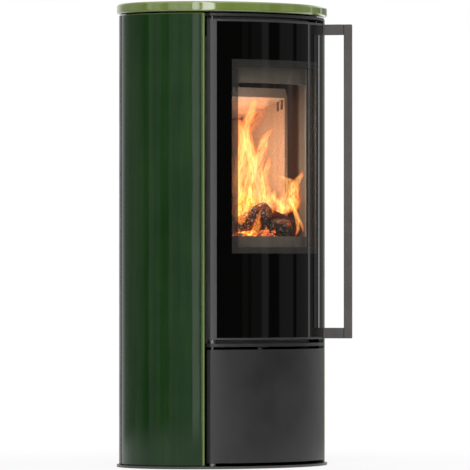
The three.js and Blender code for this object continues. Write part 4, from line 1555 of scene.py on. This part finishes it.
@dataclass
class Fire:
    """The logs, the embers and the flames."""

    seed: int = 11
    ribbon_rows: int = 44
    ribbon_columns: int = 10
    ribbon_spread: float = 1.35
    log_rings: int = 44
    log_sectors: int = 44
    log_grain: float = 30
    log_lumps: float = 0.10
    groove_grain: float = 2.6
    log_grooves: float = 0.18
    end_steepness: float = 2.2
    end_flat: float = 0.08
    ribbon_twist: float = 0.35
    ribbon_bulge: float = 0.3
    tongue_step: float = 7.3
    ember_x: Levels = (-0.110, 0.150)
    ember_y: Levels = (-0.155, 0.045)
    ember_columns: int = 64
    ember_rows: int = 56
    ember_height: float = 0.026
    ember_swell_scale: float = 45
    ember_grain: float = 0.007
    ember_grain_scale: float = 140
    coals: int = 70
    coal_field: tuple[Levels, ...] = ((0.035, 0.150), (-0.085, -0.030), (0.562, 0.586))
    coal_size: Levels = (0.003, 0.007)
    coal_bands: int = 6
    coal_sectors: int = 9
    coal_flatness: float = 0.7
    coal_lumps: float = 0.5
    tongue_foot: Levels = (0.600, 0.630)
    tongue_height: Levels = (0.050, 0.105)
    tongue_lean: Levels = (-0.012, 0.012)
    tongue_width: Levels = (0.010, 0.017)
    tongue_away: Levels = (-0.045, 0.020)
    tongue_brightness: Levels = (0.7, 1.0)
    tall_tongue: float = 1.15
    short_tongue: float = 0.6
    behind_logs_from: float = 0.11
    behind_logs: float = 0.035
    logs: tuple[BurningLog, ...] = (
        BurningLog("log_front_left", (0.050, -0.040, 0.605), (0.80, 0.35, 0.46), 0.165, 0.0235, 3, BARK),
        BurningLog("log_front_right", (0.124, -0.004, 0.594), (-0.62, 0.75, 0.02), 0.120, 0.0235, 5, CHAR),
        BurningLog(
            "log_behind_right", (0.134, 0.034, 0.618), (0.82, 0.25, -0.36), 0.130, 0.0190, 8, RED_CHAR
        ),
        BurningLog("log_behind_left", (0.036, 0.045, 0.616), (1.0, 0.15, 0.0), 0.165, 0.0370, 13, BROWN_CHAR),
    )
    ribbons: tuple[FlameRibbon, ...] = (
        FlameRibbon(
            0.000,
            (
                (0.047, 0.640, 0.012),
                (0.046, 0.700, 0.014),
                (0.052, 0.745, 0.017),
                (0.060, 0.785, 0.019),
                (0.058, 0.820, 0.015),
                (0.060, 0.850, 0.011),
                (0.070, 0.880, 0.010),
                (0.078, 0.910, 0.006),
                (0.084, 0.932, 0.001),
            ),
        ),
        FlameRibbon(
            0.020,
            (
                (0.040, 0.650, 0.010),
                (0.037, 0.720, 0.011),
                (0.043, 0.770, 0.012),
                (0.050, 0.810, 0.010),
                (0.042, 0.850, 0.009),
                (0.036, 0.890, 0.003),
            ),
            0.9,
        ),
        FlameRibbon(
            -0.015,
            (
                (0.096, 0.640, 0.016),
                (0.090, 0.690, 0.018),
                (0.082, 0.730, 0.017),
                (0.086, 0.765, 0.018),
                (0.097, 0.790, 0.015),
                (0.104, 0.815, 0.010),
                (0.116, 0.833, 0.007),
                (0.134, 0.848, 0.001),
            ),
        ),
        FlameRibbon(
            0.010,
            (
                (0.070, 0.640, 0.014),
                (0.066, 0.700, 0.012),
                (0.074, 0.740, 0.012),
                (0.072, 0.775, 0.013),
                (0.062, 0.805, 0.011),
                (0.060, 0.835, 0.007),
                (0.068, 0.862, 0.002),
            ),
        ),
        FlameRibbon(
            0.005,
            (
                (0.108, 0.640, 0.012),
                (0.112, 0.680, 0.010),
                (0.104, 0.715, 0.009),
                (0.112, 0.750, 0.007),
                (0.120, 0.775, 0.002),
            ),
            0.75,
        ),
        FlameRibbon(
            0.030,
            (
                (0.060, 0.830, 0.018),
                (0.070, 0.870, 0.024),
                (0.088, 0.905, 0.026),
                (0.104, 0.930, 0.014),
            ),
            0.22,
        ),
        FlameRibbon(
            -0.020,
            (
                (0.160, 0.632, 0.022),
                (0.166, 0.660, 0.024),
                (0.172, 0.690, 0.018),
                (0.166, 0.712, 0.013),
                (0.150, 0.722, 0.008),
                (0.134, 0.728, 0.001),
            ),
        ),
        FlameRibbon(
            -0.030,
            (
                (0.178, 0.640, 0.013),
                (0.175, 0.675, 0.014),
                (0.181, 0.702, 0.011),
                (0.193, 0.722, 0.007),
                (0.201, 0.738, 0.001),
            ),
        ),
        FlameRibbon(
            -0.040,
            (
                (0.168, 0.672, 0.006),
                (0.178, 0.645, 0.006),
                (0.186, 0.618, 0.005),
                (0.188, 0.590, 0.004),
                (0.181, 0.572, 0.002),
            ),
            0.9,
        ),
        FlameRibbon(
            -0.042,
            (
                (0.172, 0.660, 0.005),
                (0.184, 0.630, 0.004),
                (0.196, 0.605, 0.004),
                (0.203, 0.582, 0.002),
            ),
            0.8,
        ),
    )
    front_licks: tuple[FlameRibbon, ...] = (
        FlameRibbon(-0.075, ((0.046, 0.604, 0.008), (0.058, 0.640, 0.011), (0.066, 0.682, 0.001)), 0.55),
        FlameRibbon(-0.080, ((0.036, 0.606, 0.006), (0.042, 0.645, 0.008), (0.048, 0.695, 0.001)), 0.65),
        FlameRibbon(
            -0.085,
            (
                (0.074, 0.568, 0.012),
                (0.082, 0.588, 0.011),
                (0.088, 0.612, 0.007),
                (0.095, 0.642, 0.001),
            ),
            0.50,
        ),
        FlameRibbon(-0.080, ((0.066, 0.566, 0.007), (0.072, 0.580, 0.006), (0.080, 0.598, 0.001)), 0.50),
        FlameRibbon(-0.070, ((0.098, 0.566, 0.006), (0.106, 0.584, 0.005), (0.110, 0.600, 0.001)), 0.50),
        FlameRibbon(0.020, ((0.050, 0.880, 0.016), (0.046, 0.905, 0.020), (0.060, 0.935, 0.010)), 0.20),
    )
    low_tongue_feet: tuple[float, ...] = (
        *(0.040, 0.052, 0.064, 0.076, 0.088, 0.100),
        *(0.118, 0.130, 0.142, 0.154),
    )

    def build_log(self, log: BurningLog) -> None:
        """Builds one log with a cracked, uneven surface and rounded, rough ends.

        Args:
            log: The log.
        """
        along = in_view(*log.direction).normalized()
        side = along.cross(Vector((0.0, 0.0, 1.0))).normalized()
        up = side.cross(along)
        middle = in_view(*log.middle)
        maker = MeshMaker(log.name)
        for ring in range(self.log_rings + 1):
            share = ring / self.log_rings
            to_end = min(share, 1 - share) * log.length / log.radius
            end_round = math.sqrt(1 - (1 - min(1.0, self.end_steepness * to_end + self.end_flat)) ** 2)
            for sector in range(self.log_sectors):
                angle = 2 * math.pi * sector / self.log_sectors
                outwards = side * math.cos(angle) + up * math.sin(angle)
                at = middle + along * (share - 0.5) * log.length
                spot = (at + outwards * log.radius) * self.log_grain + Vector((log.seed, 0, 0))
                lumps = noise.fractal(spot, 1.0, 2.0, 4) * self.log_lumps
                grooves = abs(noise.noise(spot * self.groove_grain)) * self.log_grooves
                maker.add_points([tuple(at + outwards * log.radius * end_round * (1.0 + lumps - grooves))])
        maker.add_tube(0, self.log_rings, self.log_sectors)
        last = self.log_rings * self.log_sectors
        maker.add_face(list(range(self.log_sectors)))
        maker.add_face([last + sector for sector in reversed(range(self.log_sectors))])
        place(maker.build([log.finish.material()], 50), Body.STOVE, None)

    def build_embers(self) -> None:
        """Builds the lumpy bed of embers on the hearth."""
        low = levels_of("hearth_brick_left")[1] + 0.0005
        maker = MeshMaker("ember_bed")
        columns, rows = self.ember_columns, self.ember_rows
        for j in range(rows + 1):
            for i in range(columns + 1):
                x = self.ember_x[0] + (self.ember_x[1] - self.ember_x[0]) * i / columns
                y = self.ember_y[0] + (self.ember_y[1] - self.ember_y[0]) * j / rows
                away = max(abs(2 * i / columns - 1), abs(2 * j / rows - 1))
                swell = 0.6 + 0.5 * noise.noise(Vector((x, y, 0.3)) * self.ember_swell_scale)
                height = self.ember_height * (1 - away**4) * swell
                grain = abs(noise.noise(Vector((x, y, 0.7)) * self.ember_grain_scale))
                height += self.ember_grain * grain * (1 - away**4)
                maker.add_points([(x, y, low + max(0.0, height))])
        maker.add_sheet(0, rows, columns)
        place(maker.build([EmberBed("ember_bed").material()], 60), Body.STOVE, None)

    def build_coals(self) -> None:
        """Builds loose glowing coals in front of the logs."""
        rng = random.Random(self.seed + 1)
        maker = MeshMaker("loose_coals")
        for number in range(self.coals):
            middle = in_view(*[rng.uniform(*limits) for limits in self.coal_field])
            size = rng.uniform(*self.coal_size)
            first = len(maker.points)
            for band in range(self.coal_bands + 1):
                rise = math.pi * band / self.coal_bands
                for sector in range(self.coal_sectors):
                    turn = 2 * math.pi * sector / self.coal_sectors
                    level = (math.sin(rise) * math.cos(turn), math.sin(rise) * math.sin(turn))
                    outwards = Vector((*level, self.coal_flatness * math.cos(rise)))
                    rough = 1 + self.coal_lumps * noise.noise(outwards * 1.7 + Vector((number, 0, 0)))
                    maker.add_points([tuple(middle + outwards * size * rough)])
            maker.add_tube(first, self.coal_bands, self.coal_sectors)
        coal = EmberBed("glowing_coal", heat=2.0, ash=(0.55, 0.42, 0.38))
        place(maker.build([coal.material()], 60), Body.STOVE, None)

    def add_ribbon(
        self,
        maker: MeshMaker,
        ribbon: FlameRibbon,
        number: int,
        marks: dict[str, list[float]],
    ) -> None:
        """Adds one ribbon of flame.

        Args:
            maker: The mesh that it goes into.
            ribbon: Its places.
            number: Which ribbon it is, so that no two look alike.
            marks: Where the values that the flame's shader reads are kept, one per point.
        """
        first = len(maker.points)
        for row in range(self.ribbon_rows + 1):
            up = row / self.ribbon_rows
            across, height, half_width = through(ribbon.knots, up)
            for column in range(self.ribbon_columns + 1):
                share = 2 * column / self.ribbon_columns - 1
                twist = self.ribbon_twist * half_width * share * math.sin(4 * up + number)
                bulge = self.ribbon_bulge * half_width * (1 - share**2)
                reach = self.ribbon_spread * share * half_width
                maker.add_points([tuple(in_view(across + reach, ribbon.away + twist - bulge, height))])
                values = (share, up, self.tongue_step * number, ribbon.brightness)
                for name, value in zip(marks, values):
                    marks[name].append(value)
        maker.add_sheet(first, self.ribbon_rows, self.ribbon_columns)

    def low_tongues(self) -> list[FlameRibbon]:
        """Returns short flames that rise side by side from the embers and the logs."""
        rng = random.Random(self.seed)
        tongues = []
        for across in self.low_tongue_feet:
            in_front = across < self.behind_logs_from
            foot = rng.uniform(*self.tongue_foot)
            height = rng.uniform(*self.tongue_height) * (self.tall_tongue if in_front else self.short_tongue)
            lean = rng.uniform(*self.tongue_lean)
            width = rng.uniform(*self.tongue_width)
            knots = (
                (across, foot, 0.7 * width),
                (across - 0.4 * lean, foot + 0.35 * height, width),
                (across + lean, foot + 0.70 * height, 0.6 * width),
                (across + 1.6 * lean, foot + height, 0.001),
            )
            away = rng.uniform(*self.tongue_away) + (0.0 if in_front else self.behind_logs)
            tongues.append(FlameRibbon(away, knots, rng.uniform(*self.tongue_brightness)))
        return tongues

    def build_flames(self) -> None:
        """Builds all the flames as one piece that lights up what is behind it."""
        maker = MeshMaker("flames")
        marks: dict[str, list[float]] = {"across": [], "up": [], "tongue": [], "brightness": []}
        for number, ribbon in enumerate([*self.ribbons, *self.front_licks, *self.low_tongues()]):
            self.add_ribbon(maker, ribbon, number, marks)
        piece = maker.build([Flame("flame").material()], 180)
        for name, values in marks.items():
            piece.data.attributes.new(name, "FLOAT", "POINT").data.foreach_set("value", values)
        piece.visible_shadow = False
        place(piece, Body.STOVE, None)

    def build(self) -> None:
        """Builds the whole fire."""
        for log in self.logs:
            self.build_log(log)
        self.build_embers()
        self.build_coals()
        self.build_flames()


# ------------------------------------------------------------------------------------------- the studio


@dataclass(frozen=True)
class StripLamp:
    """A tall lamp that mirrors show as an upright band of light.

    Attributes:
        azimuth_deg: Where it stands, round from the stove's front towards its left.
        half_width_deg: Half of how wide it looks.
        brightness: How bright it looks.
    """

    azimuth_deg: float
    half_width_deg: float
    brightness: float


@dataclass
class Studio:
    """The floor, the lamps, the surroundings and the camera."""

    room_light: float = 0.42
    dark_room: float = 0.020
    floor_radius: float = 2.4
    floor_sides: int = 96
    floor_level: float = -0.0002
    lamps: tuple[StripLamp, ...] = (
        StripLamp(43.5, 4.5, 2.2),
        StripLamp(29.5, 6.5, 3.2),
        StripLamp(59.0, 10.0, 0.42),
        StripLamp(73.5, 6.0, 0.50),
        StripLamp(96.0, 3.0, 0.30),
        StripLamp(103.0, 5.0, 0.32),
        StripLamp(111.0, 4.0, 0.50),
        StripLamp(150.0, 24.0, 0.26),
        StripLamp(-7.0, 3.0, 0.05),
        StripLamp(-20.5, 8.5, 0.06),
        StripLamp(-25.8, 3.4, 0.16),
        StripLamp(-47.0, 8.0, 0.13),
        StripLamp(-63.0, 4.5, 0.11),
        StripLamp(-72.0, 5.0, 0.12),
        StripLamp(-76.3, 1.3, 0.75),
        StripLamp(-84.5, 8.0, 0.20),
        StripLamp(-97.5, 2.2, 1.00),
        StripLamp(-106.5, 7.5, 0.14),
    )
    right_glow_deg: Levels = (-60.0, -100.0)
    right_glow_end_deg: Levels = (-150.0, -118.0)
    right_glow: float = 1.5
    right_backdrop_deg: Levels = (-108.0, -126.0)
    right_backdrop: float = 0.75
    left_backdrop_deg: Levels = (164.0, 198.0)
    left_backdrop: float = 1.0
    backdrop_split: float = -2.4
    strip_edges: Levels = (1.15, 0.75)
    lamp_size: float = 2.4
    lamp_aim: tuple[float, float, float] = (0.0, 0.0, 0.6)
    glow_levels: Levels = (0.08, 0.22)
    glow_top: Levels = (0.55, 0.32)
    ceiling_levels: Levels = (0.45, 0.85)
    ceiling_light: float = 0.9
    camera_place: tuple[float, float, float] = (-9.251, -9.251, 0.477)
    camera_aim: tuple[float, float, float] = (0.0221, -0.0221, 0.577)
    glow_radius: float = 0.030
    lens_mm: float = 400.2
    sensor_mm: float = 36.0

    def mirrored_room(self, board: NodeBoard) -> Socket:
        """Returns how bright the room looks in a mirror: dark in front, white behind, with strip lamps.

        Args:
            board: The node board of the surroundings.

        Returns:
            The strength of the light.
        """
        direction = board.add("ShaderNodeTexCoord").outputs["Generated"]
        parts = board.add("ShaderNodeSeparateXYZ", {0: direction}).outputs
        sideways = board.maths("MULTIPLY", parts[0], -1.0)
        forwards = board.maths("MULTIPLY", parts[1], -1.0)
        azimuth = board.maths("ARCTAN2", sideways, forwards)
        right = [math.radians(angle) for angle in self.right_backdrop_deg]
        left = [math.radians(angle) for angle in self.left_backdrop_deg]
        past_split = board.maths("LESS_THAN", azimuth, self.backdrop_split)
        past_left = board.maths("ADD", azimuth, board.maths("MULTIPLY", past_split, math.tau))
        right_side = board.between(azimuth, *right, self.dark_room, self.right_backdrop)
        before_split = board.maths("GREATER_THAN", azimuth, self.backdrop_split)
        right_side = board.maths("MULTIPLY", right_side, before_split)
        left_side = board.between(past_left, *left, self.dark_room, self.left_backdrop)
        light = board.maths("MAXIMUM", right_side, left_side)
        off_level = board.between(board.maths("ABSOLUTE", parts[2]), *self.glow_levels)
        off_level = board.maths("MULTIPLY", off_level, board.between(parts[2], *self.glow_top))
        glow = [math.radians(angle) for angle in self.right_glow_deg]
        to_right = board.between(azimuth, glow[0], glow[1], 0.0, self.right_glow)
        glow_end = [math.radians(angle) for angle in self.right_glow_end_deg]
        to_right = board.maths("MULTIPLY", to_right, board.between(azimuth, *glow_end))
        light = board.maths("ADD", light, board.maths("MULTIPLY", to_right, off_level))
        for lamp in self.lamps:
            offset = board.maths("SUBTRACT", azimuth, math.radians(lamp.azimuth_deg))
            away = board.maths("ABSOLUTE", offset)
            half = math.radians(lamp.half_width_deg)
            edges = [share * half for share in self.strip_edges]
            band = board.between(away, *edges, 0.0, lamp.brightness)
            light = board.maths("ADD", light, band)
        overhead = board.between(parts[2], *self.ceiling_levels, 0.0, self.ceiling_light)
        return board.maths("MAXIMUM", light, overhead)

    def build_world(self) -> None:
        """Makes the surroundings.

        The camera and clear glass see plain white, and matt surfaces get plain grey light. Mirrors see
        the white only behind the stove: in front of it they see a dark room with strip lamps.
        """
        world = bpy.data.worlds.new("studio")
        bpy.context.scene.world = world
        world.use_nodes = True
        board = NodeBoard(world.node_tree)
        path = board.add("ShaderNodeLightPath")
        seen = board.maths("MAXIMUM", path.outputs["Is Camera Ray"], path.outputs["Is Transmission Ray"])
        grey = {"Color": (1.0, 1.0, 1.0), "Strength": self.room_light}
        plain = board.add("ShaderNodeBackground", grey).outputs[0]
        mirrored = board.add("ShaderNodeBackground", {"Color": (1.0, 1.0, 1.0)})
        board.feed(mirrored.inputs["Strength"], self.mirrored_room(board))
        full = {"Color": (1.0, 1.0, 1.0), "Strength": 1.0}
        white = board.add("ShaderNodeBackground", full).outputs[0]
        shown = ClearGlass.blend(board, path.outputs["Is Glossy Ray"], plain, mirrored.outputs[0])
        shown = ClearGlass.blend(board, seen, shown, white)
        board.tree.links.new(shown, board.add("ShaderNodeOutputWorld").inputs["Surface"])

    def build_floor(self) -> None:
        """Makes the round floor."""
        maker = MeshMaker("studio_floor")
        turns = [2 * math.pi * side / self.floor_sides for side in range(self.floor_sides)]
        circle = [(self.floor_radius * math.cos(turn), self.floor_radius * math.sin(turn)) for turn in turns]
        maker.add_points([(x, y, self.floor_level) for x, y in circle])
        maker.add_face(list(range(self.floor_sides)))
        maker.build([StudioFloor("studio_floor").material()])

    def add_lamp(self, name: str, spot: Sequence[float], watts: float) -> None:
        """Adds one large soft lamp that faces the stove and that mirrors don't show.

        Args:
            name: Its name.
            spot: Where it hangs.
            watts: How strong it is.
        """
        data = bpy.data.lights.new(name, "AREA")
        data.shape = "SQUARE"
        data.size = self.lamp_size
        data.energy = watts
        lamp = bpy.data.objects.new(name, data)
        lamp.location = spot
        towards = Vector(self.lamp_aim) - Vector(spot)
        lamp.rotation_euler = towards.to_track_quat("-Z", "Y").to_euler()
        lamp.visible_glossy = False
        bpy.context.scene.collection.objects.link(lamp)

    def add_glow(self, name: str, spot: Sequence[float], colour: Colour, watts: float) -> None:
        """Adds light inside the firebox at one place.

        Args:
            name: Its name.
            spot: Where it stands.
            colour: Its colour.
            watts: How strong it is.
        """
        data = bpy.data.lights.new(name, "POINT")
        data.energy = watts
        data.color = colour
        data.shadow_soft_size = self.glow_radius
        lamp = bpy.data.objects.new(name, data)
        lamp.location = spot
        lamp.visible_glossy = False
        bpy.context.scene.collection.objects.link(lamp)

    def build_camera(self) -> None:
        """Makes the camera at the photograph's place."""
        data = bpy.data.cameras.new("camera")
        data.lens = self.lens_mm
        data.sensor_width = self.sensor_mm
        data.clip_start = 0.1
        data.clip_end = 100.0
        camera = bpy.data.objects.new("camera", data)
        camera.location = self.camera_place
        aim = Vector(self.camera_aim) - Vector(self.camera_place)
        camera.rotation_euler = aim.to_track_quat("-Z", "Y").to_euler()
        bpy.context.scene.collection.objects.link(camera)
        bpy.context.scene.camera = camera

    def build(self) -> None:
        """Builds the whole studio."""
        bpy.context.scene.view_settings.view_transform = "Standard"
        self.build_world()
        self.build_floor()
        self.add_lamp("key_lamp", (-3.2, -2.6, 3.0), 125.0)
        self.add_lamp("fill_lamp", (2.6, -3.4, 2.0), 46.0)
        self.add_lamp("rear_lamp", (1.5, 3.4, 2.6), 60.0)
        self.add_glow("fire_glow_low", in_view(0.080, -0.010, 0.690), (1.0, 0.66, 0.40), 0.55)
        self.add_glow("fire_glow_high", in_view(0.070, 0.000, 0.800), (1.0, 0.70, 0.46), 0.45)
        self.add_glow("glow_at_the_glass", (-0.020, -0.165, 0.800), (1.0, 0.90, 0.82), 0.75)
        self.build_camera()


def main() -> None:
    """Builds the studio, then the stove piece by piece."""
    logging.basicConfig(level=logging.INFO, format="%(message)s")
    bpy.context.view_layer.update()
    for assembly in (Studio(), Tiles(), SteelShell(), FireDoor(), LowerDoor(), Firebox(), Fire()):
        assembly.build()


if __name__ == "__main__":
    main()
